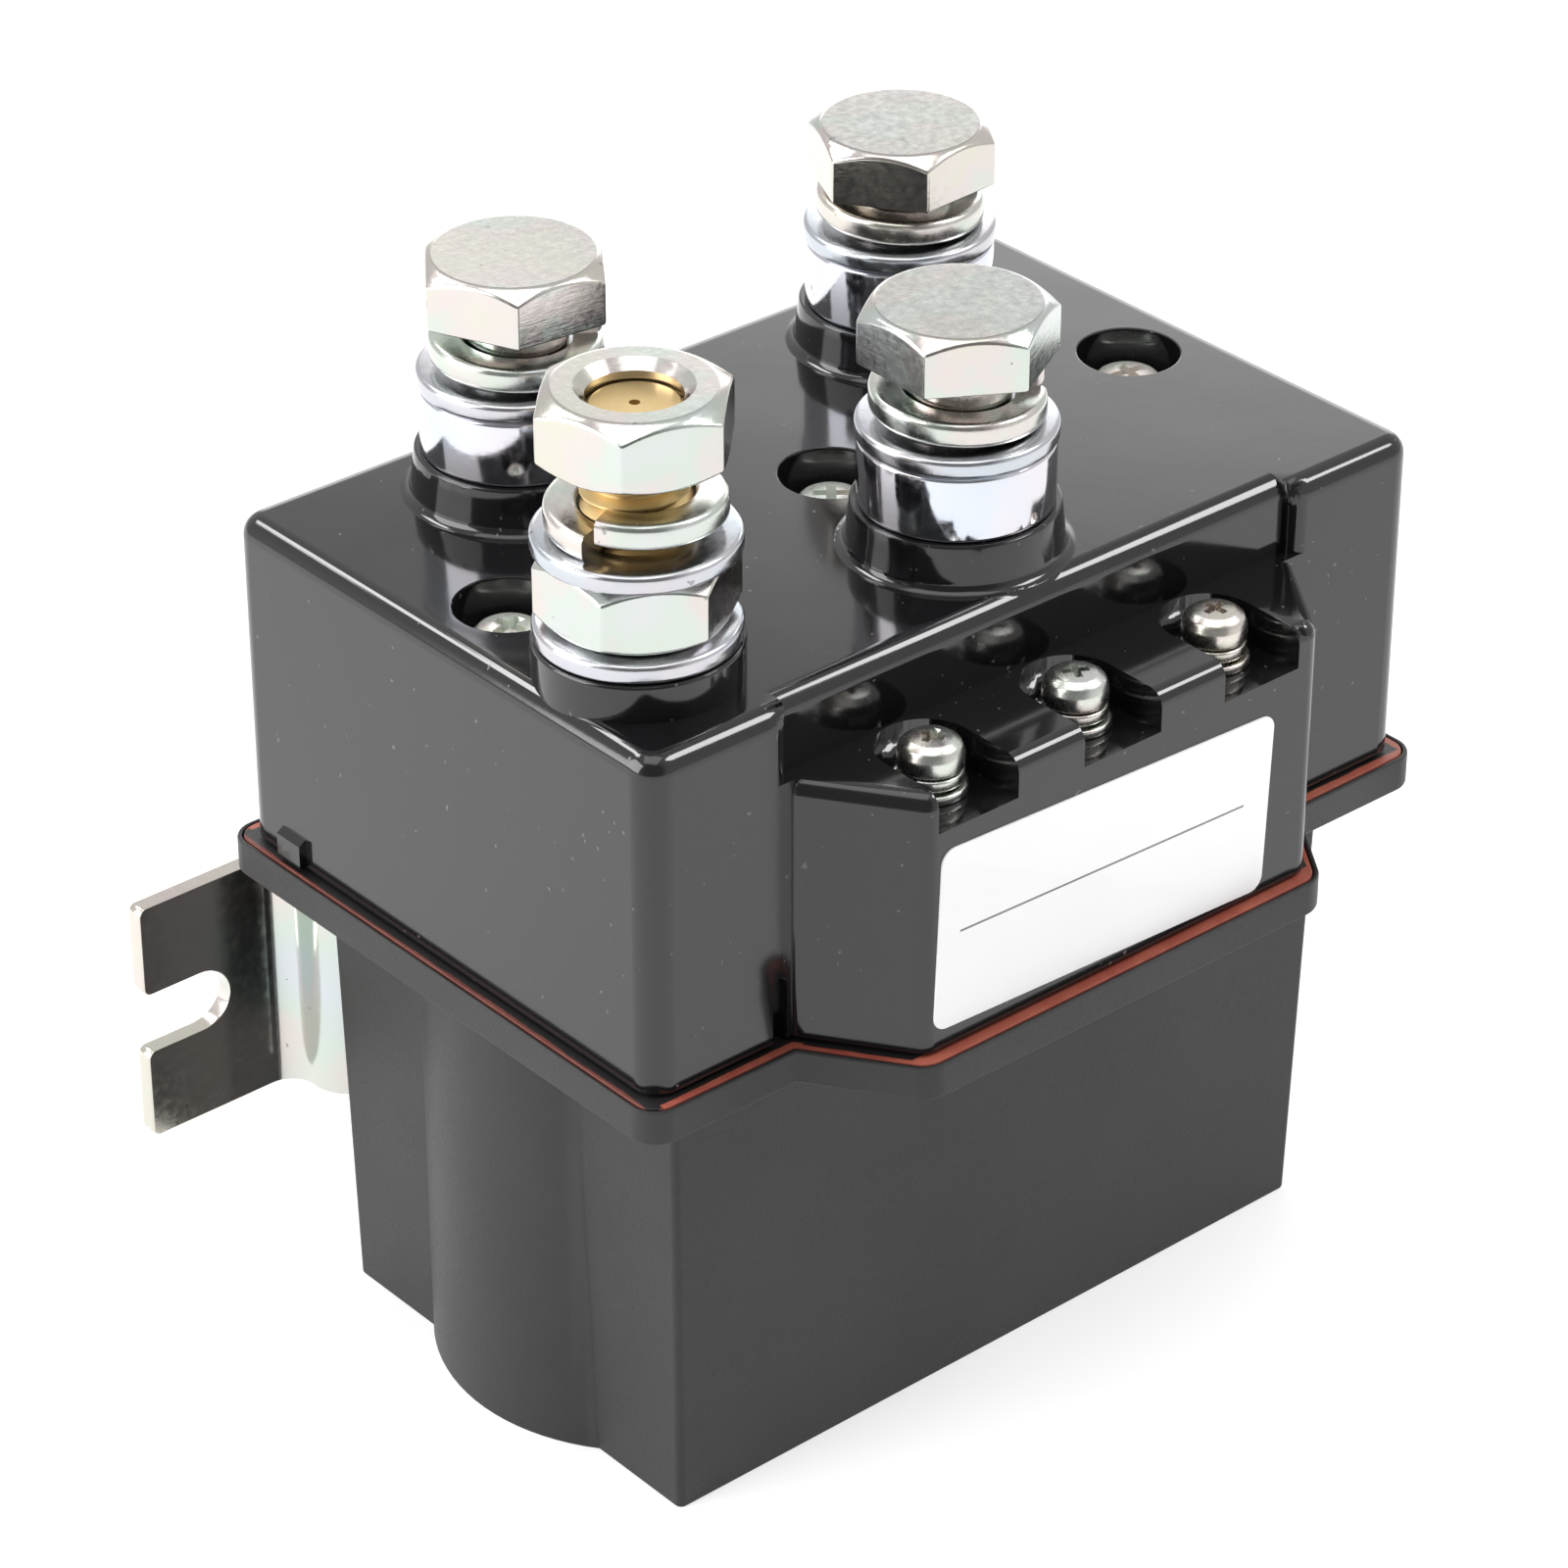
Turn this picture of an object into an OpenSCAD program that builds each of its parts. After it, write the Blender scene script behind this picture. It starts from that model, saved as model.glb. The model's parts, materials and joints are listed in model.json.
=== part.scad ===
// Reversing DC contactor. A moulded cover carries four power terminals and a block of three
// coil terminals; a moulded housing below holds two solenoids; a bent strap at the back mounts it.
// Millimetres. The origin is the centre of the housing's bottom face, X runs along the long
// side, Y towards the mounting strap, Z up.

/* [Cover] */
// Length of the cover along X
cover_l = 75.4; // [74:0.2:84]
// Depth of the cover along Y, without the terminal block
cover_w = 48.5; // [47.5:0.5:56]
// Height of the cover above the gasket
cover_h = 27.8; // [26:0.2:32]
// Thickness of the cover's side walls
cover_wall = 2.2; // [1.8:0.1:2.4]
// Thickness of the cover's top
cover_top_t = 3; // [2.4:0.2:3.6]
// Radius of the cover's upright corners
cover_corner_r = 2.2; // [1.8:0.2:4]
// Radius of the cover's top edges
cover_edge_r = 1.6; // [0.8:0.2:2]
// Height of the small wedge at the foot of the left wall
lug_h = 2.8; // [1.6:0.2:4]
// Height of the relief cut along the cover's foot
foot_relief = 0.4; // [0.2:0.1:0.6]

/* [Coil terminal block] */
// How far the block stands out of the front wall
block_out = 8.2; // [8:0.2:12]
// Length of the block's front face
block_front_l = 38.2; // [37:0.2:44]
// How much longer the block is at each end where it leaves the front wall
block_flare = 5.7; // [4:0.1:7]
// Drop from the cover's top to the block's ledge
block_drop = 6; // [5:0.2:8]
// How far the wall above the ledge is set back
block_notch = 1.3; // [0.6:0.1:1.6]
// Radius along the ledge's front edge
block_edge_r = 1.2; // [0.4:0.1:1.4]
// Width of each terminal pocket
pocket_w = 7.6; // [6.8:0.2:8.4]
// Distance of the outer pockets in from the ends of the front face
pocket_side = 1.3; // [1:0.1:1.8]
// How far the row of pockets is off the middle, towards the left
pocket_shift = 0.5; // [0:0.1:0.6]
// Depth of each pocket below the ledge
pocket_depth = 3.2; // [2.6:0.2:4]
// Distance of the coil screws in front of the front wall
coil_screw_out = 3.1; // [3:0.1:4.4]

/* [Label] */
// Distance of the label from the left end of the front face
label_left = 0.8; // [0.6:0.1:2]
// Distance of the label from the right end of the front face
label_right = 4.4; // [1:0.1:8]
// Height of the blank label
label_h = 15; // [8:0.5:16]
// Thickness of the label
label_t = 0.15; // [0.1:0.05:0.3]
// Corner radius of the label
label_r = 1.2; // [0.4:0.2:2]
// Tilt of the label as it was stuck on, in degrees
label_tilt = 2.2; // [0:0.1:3]

/* [Seal and flange] */
// Thickness of the gasket
gasket_t = 0.5; // [0.4:0.1:1]
// How far the gasket stands out past the cover
gasket_out = 0.8; // [0.3:0.1:0.9]
// Thickness of the housing's flange
flange_t = 2.3; // [2.2:0.1:3.4]
// How far the flange stands out past the cover
flange_out = 1.3; // [1.3:0.1:2]
// Radius of the flange's four corners
flange_corner_r = 2.3; // [1.6:0.1:4]
// Width of the lip round the flange
lip_w = 0.4; // [0.3:0.05:0.4]
// Height of the lip above the flange
lip_h = 0.5; // [0.3:0.1:0.7]

/* [Housing] */
// How far each end of the housing is set in from the cover
housing_end_in = 4.7; // [4:0.1:5.4]
// How far each side of the housing is set in from the cover
housing_side_in = 3.45; // [3:0.05:4]
// Height of the housing up to the flange's underside
housing_h = 38.8; // [38:0.2:46]
// Taper of each housing wall from the flange to the bottom
housing_draft = 0.7; // [0.3:0.1:0.9]
// Thickness of the housing's walls
housing_wall = 2; // [1.6:0.1:2.2]
// Thickness of the housing's floor
floor_t = 2.2; // [1.6:0.2:3]
// Room round each bobbin inside the round bulge over it
bobbin_room = 1.6; // [1:0.1:2]
// How far the bulges stay in from the cover's ends
bulge_in = 1.85; // [1.4:0.05:2.4]
// Radius of the housing's upright corners
housing_corner_r = 0.6; // [0.4:0.1:2.4]

/* [Mounting strap] */
// Thickness of the strap
strap_t = 1.5; // [1.2:0.1:2]
// Height of the strap
strap_h = 21; // [16:0.5:24]
// Depth of the strap's middle below the flange
strap_below = 13.7; // [12.5:0.1:18]
// Length of each foot beyond its web
foot_l = 13.8; // [12:0.2:17]
// How far each web is set in from the housing's end
web_in = 1.3; // [0.6:0.1:2]
// How far the pad under the strap stands out of the housing
pad_out = 1.5; // [0.5:0.1:2.5]
// How far the feet stand behind the pad
strap_depth = 7.6; // [6.4:0.2:12]
// Straight length of web between its two bends
web_flat = 0.2; // [0.1:0.1:2]
// Width of the open slot in each foot
slot_w = 5.2; // [4.2:0.1:6.5]
// Depth of the open slot from the foot's end
slot_l = 7.9; // [6:0.1:8.8]

/* [Power terminals] */
// Distance of the front terminals in from the front wall
front_row_in = 10.5; // [10:0.1:12]
// Distance of the back terminals in from the back wall
back_row_in = 10.6; // [10:0.1:12]
// Distance of the stud in from the left wall
stud_in = 8.2; // [8:0.1:9]
// Height of the boss under each post
boss_h = 3.6; // [2:0.2:5]
// Radius of each boss near its foot
boss_r = 8.1; // [7.8:0.1:8.6]
// Height of the lower boss under the stud
stud_boss_h = 2.9; // [2:0.1:4]
// Radius of the post's collar
post_r = 7.33; // [6.8:0.05:7.6]
// Height of the post's collar
post_h = 5.2; // [3:0.2:8]
// Nominal thread diameter of the bolts and the stud
thread_d = 8; // [7:0.5:8]
// Width across flats of the bolt heads and nuts
hex_af = 13; // [12:0.5:13]
// Height of the bolt heads
bolt_head_h = 4.4; // [4:0.1:6.5]
// Length of the bolts under the head
bolt_l = 20; // [18:1:20]
// Height of the nuts
nut_h = 5.5; // [5:0.1:7]
// Outer diameter of the flat washers
washer_d = 15; // [14:0.2:16]
// Thickness of the flat washers
washer_t = 1.5; // [1.2:0.1:2]
// Outer diameter of the split spring washers
split_d = 13; // [12:0.2:14]
// Thickness of the split spring washers
split_t = 2; // [1.4:0.1:2.4]
// How far the ends of a split washer stand apart when it is slack
split_rise = 1.5; // [0.8:0.1:2]
// Gap left between a split washer and the bolt head above it
slack = 0.1; // [0.1:0.1:1]
// How far the front and the left bolt stand out further than the right one
front_lift = 1.1; // [0:0.1:1.2]
left_lift = 0.9; // [0:0.1:1.2]
// Gap left between the stud's split washer and its top nut
nut_slack = 2; // [0.2:0.1:2.2]
// Distance of the stud's end below the top of its nut
stud_sunk = 0.8; // [0.3:0.1:2]

/* [Screws] */
// Distance of the end cover screws in from the cover's ends
screw_in = 7; // [6.6:0.1:7.6]
// Nominal diameter of the cover screws
screw_d = 4; // [3.4:0.1:4]
// Diameter of the cover screws' heads
screw_head_d = 7; // [6.4:0.1:7.4]
// Diameter of the counterbores in the cover
counterbore_d = 8; // [7.6:0.1:8.4]
// Depth of the counterbores
counterbore_depth = 7.4; // [6.4:0.2:8]
// Nominal diameter of the coil terminal screws
coil_screw_d = 3; // [2.5:0.1:3.2]
// Diameter of the coil terminal screws' heads
coil_head_d = 4.9; // [4.6:0.1:5.4]

/* [Solenoids] */
// Gap between the yokes' legs and the housing's front and back walls
yoke_room = 1.7; // [1:0.1:2.2]
// Height of each bobbin
bobbin_h = 25.6; // [24:0.2:27]
// Radius of the plungers
plunger_r = 5.5; // [4.6:0.1:6]
// Travel of each plunger
travel = 2.5; // [1.5:0.1:3]
// Thickness of the yoke's strip and the top plates
yoke_t = 2.5; // [2:0.1:3]
// Width of the yoke's strip
yoke_w = 18; // [14:0.5:20]
// Height of the fixed core above the yoke
core_h = 12; // [9:0.5:13]
// Length of each plunger
plunger_l = 17; // [15:0.2:17.4]
// Radius of the contact rods
rod_r = 2; // [1.5:0.1:2.4]

/* [Contacts] */
// Thickness of the bus bars
bar_t = 2; // [1.5:0.1:2.5]
// Width of the bus bars
bar_w = 9; // [7:0.2:9.4]
// Thickness of the moving contact bridges
bridge_t = 2.5; // [2:0.1:3]
// Distance of the output posts' bars in from the contact base's back edge
bar_in = 1.6; // [1.2:0.1:2]
// Radius of the contact rivets' heads
contact_r = 3; // [2.4:0.1:3.4]
// Height of the contact rivets' heads
contact_t = 1; // [0.8:0.1:1.2]
// Height of the pedestals that carry the lower bus bars
pedestal_h = 3.8; // [3.2:0.1:4.6]

/* [Hidden] */
$fn = 64;

// Clearances
fit = 0.05;          // radial, a bolt, rod or screw in its hole
seat = 0.1;          // a loose piece in its recess
run = 0.08;          // radial, the plunger in its bobbin
contact_clear = 0.15; // between closed contacts
soft_fn = 32;        // facets round a softened corner

// Levels, from the bottom up
z_yoke = floor_t;
z_coil = z_yoke + yoke_t;
z_plate = z_coil + bobbin_h;
z_plate_top = z_plate + yoke_t;
z_core_end = z_coil + core_h;
z_plunger = z_core_end + travel + seat;
z_flange = housing_h;
z_rim = z_flange + flange_t;
z_cover = z_rim + gasket_t;
z_top = z_cover + cover_h;
z_ceiling = z_top - cover_top_t;
z_ledge = z_top - block_drop;
z_pocket = z_ledge - pocket_depth;
pocket_floor_t = 2;
z_block_ceiling = z_pocket - pocket_floor_t;
label_z = z_pocket - 2.2 - label_h / 2;

// Contact base and contact levels
base_t = 3;
seat_rise = 1.6;
z_seat = z_flange + seat_rise;
z_base = z_seat + base_t;
z_lower_bar = z_base + pedestal_h;
z_lower_contact = z_lower_bar + bar_t + contact_t;
z_bridge = z_lower_contact + travel + contact_clear + contact_t;
z_bridge_top = z_bridge + bridge_t;
z_upper_bar = z_bridge_top + contact_t + contact_clear + contact_t;
z_bars_top = z_upper_bar + bar_t;

// Places in plan
front_y = -cover_w / 2;
back_y = cover_w / 2;
housing_l = cover_l - 2 * housing_end_in;
housing_w = cover_w - 2 * housing_side_in;
leg_gap = 0.5;
leg_y = housing_w / 2 - housing_wall - housing_draft - yoke_room - yoke_t;
bobbin_r = leg_y - leg_gap;
bulge_r = bobbin_r + bobbin_room + housing_wall;
coil_x = cover_l / 2 - bulge_in - bulge_r;
coil_pitch = 2 * coil_x;
screw_pitch = cover_l / 2 - screw_in;
block_root_l = block_front_l + 2 * block_flare;
pocket_pitch = (block_front_l - pocket_w) / 2 - pocket_side;
label_l = block_front_l - label_left - label_right;
front_row_y = front_y + front_row_in;
back_row_y = back_y - back_row_in;
stud_x = -cover_l / 2 + stud_in;
coil_screw_y = front_y - coil_screw_out;
base_edge = 3.2;
base_over = 0.4;
base_l = 2 * (screw_pitch + base_edge);
base_w = housing_w + 2 * base_over;
bar_back = base_w / 2 - bar_in;
bar_room = 2.1;
contact_y = bar_back - bar_t - bar_room - bar_w / 2 - 1;
contact_span = 2 * contact_y;
bar_front = contact_y - contact_r - 1;
stud_y = front_row_y + 0.5;
screw_xs = [-screw_pitch, 0, screw_pitch];

// Power terminal stack
post_hole_r = thread_d / 2 + 1.6;
post_shank_r = post_hole_r - fit;
post_tail_r = 3.5;
z_post = z_top + boss_h;
z_post_top = z_post + post_h;
z_split = z_post_top + washer_t;
z_head = z_split + split_t + split_rise + slack;
post_bore_l = bolt_l - (z_head - z_post_top) + 1;
stud_foot_r = 5.2;
stud_foot_h = 3;
z_stud_washer = z_top + stud_boss_h;
z_stud_nut = z_stud_washer + washer_t;
z_stud_washer2 = z_stud_nut + nut_h;
z_stud_split = z_stud_washer2 + washer_t;
z_stud_top_nut = z_stud_split + split_t + split_rise + nut_slack;
z_stud_end = z_stud_top_nut + nut_h - stud_sunk;
thread_r = thread_d / 2 - fit;
hex_r = hex_af / sqrt(3);

// How each hexagon stands, as its corner's angle from X
front_bolt_turn = 29;
left_bolt_turn = 54;
right_bolt_turn = 4.5;
lower_nut_turn = 31;
top_nut_turn = 44;

// Where the gap of each split washer stands, as an angle from X
post_split_turn = -30;
stud_split_turn = -160;
coil_split_turn = 200;

// Coil terminal screws
coil_washer_r = 2.75;
coil_washer_t = 0.7;
coil_split_r = 2.45;
coil_split_t = 0.9;
coil_split_rise = 0.25;
coil_head_h = 2.4;
coil_screw_l = 8;
z_coil_split = z_pocket + coil_washer_t;
z_coil_head = z_coil_split + coil_split_t + coil_split_rise + 0.1;
insert_r = 2.6;
insert_flange_r = 3.3;
insert_flange_t = 1.2;
insert_l = 5;

// Cover screws
cover_screw_head_h = 2.4;
z_screw_head = z_top - counterbore_depth;
screw_column_r = 5;
column_room = 0.4;   // radial, between the bars and the cover's screw columns
screw_boss_r = 3.6;
screw_boss_h = 5.6;
divider_t = 1.8;
z_screw_end = z_seat - screw_boss_h + 1.2;

// Solenoid and contact carrier
tube_t = 1.2;
bobbin_bore_r = plunger_r + run;
tube_r = bobbin_bore_r + tube_t;
bobbin_flange_t = 1.5;
winding_r = bobbin_r - 0.7;
spring_bore_r = 2.6;
spring_bore_l = 6;
return_wire_r = 0.25;
contact_wire_r = 0.35;
carrier_r = 4.4;
relief_in = 0.5;
carrier_spigot_r = rod_r + 1.1;
bridge_w = 8;
bridge_l = contact_span + 6.4;
contact_shank_r = 1.5;
contact_washer_t = 1;
contact_spring_h = 3.4;
clip_t = 0.8;
z_contact_spring = z_bridge_top + contact_washer_t;
z_clip = z_contact_spring + contact_spring_h;
rod_root = 6;
strap_z = z_flange - strap_below;
strap_pad_h = strap_h + 2;
strap_pad_l = 44;
strap_screw_x = 15;
strap_screw_d = 4;
pad_y = housing_w / 2 + pad_out;
strap_boss_y = leg_y + yoke_t + 0.2;
strap_screw_l = pad_y + strap_t - strap_boss_y - 0.8;
strap_bend_r = (strap_depth - 2 * strap_t - web_flat) / 2;
web_gap = housing_l - 2 * web_in;
strap_l = web_gap + 2 * foot_l;

// Helpers

// Rectangle with round corners, centred
module rounded_rect(l, w, r) {
    square([l - 2 * r, w], center = true);
    square([l, w - 2 * r], center = true);
    for (sx = [-1, 1], sy = [-1, 1])
        translate([sx * (l / 2 - r), sy * (w / 2 - r)]) circle(r);
}

// Ring between two radii
module tube(ro, ri, h) {
    difference() {
        cylinder(r = ro, h = h);
        translate([0, 0, -1]) cylinder(r = ri, h = h + 2);
    }
}

// Both mirror images of a piece that stands at positive X
module at_coil(side) {
    translate([side * coil_x, 0, 0]) children();
}

// One corner of a softened block: an upright post with a rounded top rim
module soft_corner(x, y, r, z0, z1, edge) {
    e = min(edge, r - 0.2);
    translate([x, y, z0]) rotate_extrude($fn = soft_fn) polygon(concat(
        [[0, 0], [r, 0]],
        [for (a = [0 : 15 : 90]) [r - e + e * cos(a), z1 - z0 - e + e * sin(a)]],
        [[0, z1 - z0]]));
}

// Upright block centred on the origin with round corners and softened top edges
module soft_block(l, w, r, z0, z1, edge) {
    hull() for (sx = [-1, 1], sy = [-1, 1])
        soft_corner(sx * (l / 2 - r), sy * (w / 2 - r), r, z0, z1, edge);
}

// Closed sweep of rings of points; every ring has n points
module sweep(rings, n) {
    last = len(rings) - 1;
    polyhedron(
        points = [for (ring = rings) for (p = ring) p],
        faces = concat(
            [[for (j = [0 : n - 1]) n - 1 - j]],
            [[for (j = [0 : n - 1]) last * n + j]],
            [for (i = [0 : last - 1], j = [0 : n - 1])
                [i * n + j, i * n + (j + 1) % n, (i + 1) * n + (j + 1) % n]],
            [for (i = [0 : last - 1], j = [0 : n - 1])
                [i * n + j, (i + 1) * n + (j + 1) % n, (i + 1) * n + j]]
        )
    );
}

// Split spring washer: one slack left-hand turn of square wire with its gap at angle start
module split_washer(ro, ri, t, rise, start) {
    gap = 9;
    steps = 30;
    sweep([for (i = [0 : steps])
        let (a = start - gap / 2 - (360 - gap) * i / steps, z = rise * i / steps)
        [[ri * cos(a), ri * sin(a), z], [ri * cos(a), ri * sin(a), z + t],
         [ro * cos(a), ro * sin(a), z + t], [ro * cos(a), ro * sin(a), z]]], 4);
}

// Helical spring on the Z axis from z0 up to z1
module coil_spring(r, wire, z0, z1, turns) {
    sides = 6;
    per_turn = 14;
    steps = per_turn * turns;
    rise = z1 - z0 - 2 * wire;
    sweep([for (i = [0 : steps])
        let (a = 360 * i / per_turn, z = z0 + wire + rise * i / steps)
        [for (j = [0 : sides - 1])
            let (b = -360 * j / sides, q = r + wire * cos(b))
            [q * cos(a), q * sin(a), z + wire * sin(b)]]], sides);
}

// Hexagon with chamfered corners on the faces named by top and bottom
module hexagon(h, bottom) {
    rim = hex_af / 2 * 0.86;
    drop = (hex_r - rim) * tan(30);
    intersection() {
        cylinder(r = hex_r, h = h, $fn = 6);
        rotate_extrude() polygon([
            [0, 0], [bottom ? rim : hex_r + 0.01, 0], [hex_r + 0.01, bottom ? drop : 0.01],
            [hex_r + 0.01, h - drop], [rim, h], [0, h]]);
    }
}

// Cross recess for a screw head; z is the head's top
module cross_recess(size, z) {
    translate([0, 0, z]) for (a = [0, 90]) rotate(a)
        cube([size, size / 5, size / 2], center = true);
}

// Pan head screw pointing down; its head's underside is at z = 0
module pan_screw(d, head_d, head_h, l) {
    dome = head_d * 0.75;
    difference() {
        union() {
            intersection() {
                cylinder(d = head_d, h = head_h);
                translate([0, 0, head_h - dome]) sphere(dome);
            }
            translate([0, 0, -l]) cylinder(d = d, h = l + 0.5);
        }
        cross_recess(head_d * 0.62, head_h);
    }
}

// Outlines in plan

// Coil terminal block, running back into the cover
module block_plan() {
    offset(r = 1.4) offset(delta = -1.4) polygon([
        [-block_root_l / 2, front_y], [-block_front_l / 2, front_y - block_out],
        [block_front_l / 2, front_y - block_out], [block_root_l / 2, front_y],
        [block_root_l / 2, front_y + 6], [-block_root_l / 2, front_y + 6]]);
}

// Cover with its block, grown outwards
module cover_plan(grow) {
    offset(r = grow) {
        rounded_rect(cover_l, cover_w, cover_corner_r);
        block_plan();
    }
}

// Flange or seal round that outline, with its own corner radius
module rim_plan(grow, r) {
    rounded_rect(cover_l + 2 * grow, cover_w + 2 * grow, r);
    offset(delta = grow) block_plan();
}

// Cover with its block, shrunk by a wall
module cover_plan_inside(wall) {
    offset(delta = -wall) {
        rounded_rect(cover_l, cover_w, cover_corner_r);
        block_plan();
    }
}

// Cover

module block_body() {
    steps = 3;
    hull() {
        translate([0, 0, z_cover]) linear_extrude(z_ledge - block_edge_r - z_cover) block_plan();
        for (i = [1 : steps])
            translate([0, 0, z_ledge - block_edge_r * (1 - sin(90 * i / steps)) - 0.01])
                linear_extrude(0.01)
                    offset(delta = -block_edge_r * (1 - cos(90 * i / steps))) block_plan();
    }
}

// Set-back of the front wall above the ledge, with the wall's top edge rounded
module notch_cut() {
    notch_x = block_root_l / 2;
    wall_y = front_y + block_notch;
    translate([0, 0, z_ledge]) difference() {
        translate([-notch_x - block_notch, front_y - 2, 0])
            cube([2 * (notch_x + block_notch), block_notch + 2, block_drop + 1]);
        for (s = [-1, 1]) translate([s * (notch_x + block_notch), wall_y, -1])
            cylinder(r = block_notch, h = block_drop + 3);
    }
    difference() {
        translate([-notch_x, wall_y - 0.1, z_top - cover_edge_r])
            cube([2 * notch_x, cover_edge_r + 0.1, cover_edge_r + 1]);
        translate([-notch_x - 1, wall_y + cover_edge_r, z_top - cover_edge_r])
            rotate([0, 90, 0]) cylinder(r = cover_edge_r, h = 2 * notch_x + 2);
    }
}

module cover_blank() {
    difference() {
        union() {
            difference() {
                soft_block(cover_l, cover_w, cover_corner_r, z_cover, z_top, cover_edge_r);
                notch_cut();
            }
            block_body();
        }
        translate([0, 0, z_cover - 1]) linear_extrude(foot_relief + 1) difference() {
            cover_plan(1);
            cover_plan_inside(relief_in);
        }
    }
}

// Small latch wedge at the foot of the left wall, over the relief
module lug() {
    lug_w = 2.8;
    out = 0.6;
    translate([-cover_l / 2, back_y - 4.6, z_cover + foot_relief]) rotate([90, 0, 0])
        linear_extrude(lug_w) polygon([[0.5, 0], [-out, 0], [-out, lug_h * 0.7],
            [0, lug_h - foot_relief], [0.5, lug_h - foot_relief]]);
}

// Round-topped groove at the foot of the front wall, beside the block
module foot_groove() {
    groove_w = 1.3;
    groove_h = 5.8;
    translate([-block_root_l / 2 - 1.1, front_y - 1, z_cover]) rotate([-90, 0, 0]) {
        translate([0, -groove_h + groove_w / 2, 0]) cylinder(d = groove_w, h = 2.2);
        translate([-groove_w / 2, -groove_h + groove_w / 2, 0])
            cube([groove_w, groove_h, 2.2]);
    }
}

module cover_hollow() {
    translate([0, 0, z_cover - 1]) linear_extrude(z_block_ceiling - z_cover + 1)
        cover_plan_inside(cover_wall);
    inner_l = cover_l - 2 * cover_wall;
    y0 = front_y + cover_wall + block_notch;
    y1 = back_y - cover_wall;
    translate([0, (y0 + y1) / 2, z_cover]) linear_extrude(z_ceiling - z_cover)
        rounded_rect(inner_l, y1 - y0, max(cover_corner_r - cover_wall, 0.5));
}

// Boss under a post, with a small flare at its foot
module terminal_boss() {
    flare = 0.8;
    rotate_extrude() {
        polygon([[0, -1], [boss_r, -1], [boss_r, flare], [boss_r - 0.3, boss_h], [0, boss_h]]);
        difference() {
            translate([boss_r - 0.1, -1]) square([flare + 0.1, flare + 1]);
            translate([boss_r + flare, flare]) circle(flare);
        }
    }
}

module pocket_cut() {
    translate([0, 0, z_pocket]) {
        cylinder(d = pocket_w, h = pocket_depth + 1);
        translate([-pocket_w / 2, -block_out, 0])
            cube([pocket_w, block_out, pocket_depth + 1]);
    }
}

module cover() color("#1b1b1d") {
    pocket_back = 0.5;
    difference() {
        union() {
            difference() {
                cover_blank();
                cover_hollow();
            }
            for (x = screw_xs) translate([x, 0, z_base + seat])
                cylinder(r = screw_column_r, h = z_ceiling - z_base - seat + 1);
            translate([0, front_row_y, z_top]) terminal_boss();
            for (s = [-1, 1]) translate([s * coil_x, back_row_y, z_top]) terminal_boss();
            translate([stud_x, stud_y, z_top - 1.5])
                cylinder(r = boss_r - 0.5, h = stud_boss_h + 1.5);
            at_coil_screws() translate([0, 0, z_pocket - insert_l])
                cylinder(r = insert_flange_r + 1.1, h = insert_l - 0.5);
            lug();
        }
        for (x = screw_xs) translate([x, 0, 0]) {
            translate([0, 0, z_cover - 1]) cylinder(d = screw_d + 0.5, h = cover_h + 2);
            translate([0, 0, z_screw_head]) cylinder(d = counterbore_d, h = counterbore_depth + 1);
        }
        translate([0, front_row_y, z_ceiling - 1])
            cylinder(r = post_hole_r, h = cover_top_t + boss_h + 2);
        for (s = [-1, 1]) translate([s * coil_x, back_row_y, z_ceiling - 1])
            cylinder(r = post_hole_r, h = cover_top_t + boss_h + 2);
        translate([stud_x, stud_y, z_ceiling - 1])
            cylinder(r = thread_d / 2 + 0.1, h = cover_top_t + stud_boss_h + 2);
        foot_groove();
        at_coil_screws() {
            translate([0, pocket_back, 0]) pocket_cut();
            translate([0, 0, z_pocket - insert_l - 1])
                cylinder(r = insert_r + fit, h = insert_l + 2);
            translate([0, 0, z_pocket - insert_l - 1])
                cylinder(r = insert_flange_r + fit, h = insert_flange_t + 1);
        }
    }
}

// Housing, gasket and contact base

module housing_box(l, w, h, draft, r) {
    hull() {
        linear_extrude(0.01) rounded_rect(l - 2 * draft, w - 2 * draft, r, $fn = soft_fn);
        translate([0, 0, h - 0.01]) linear_extrude(0.01) rounded_rect(l, w, r, $fn = soft_fn);
    }
}

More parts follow.
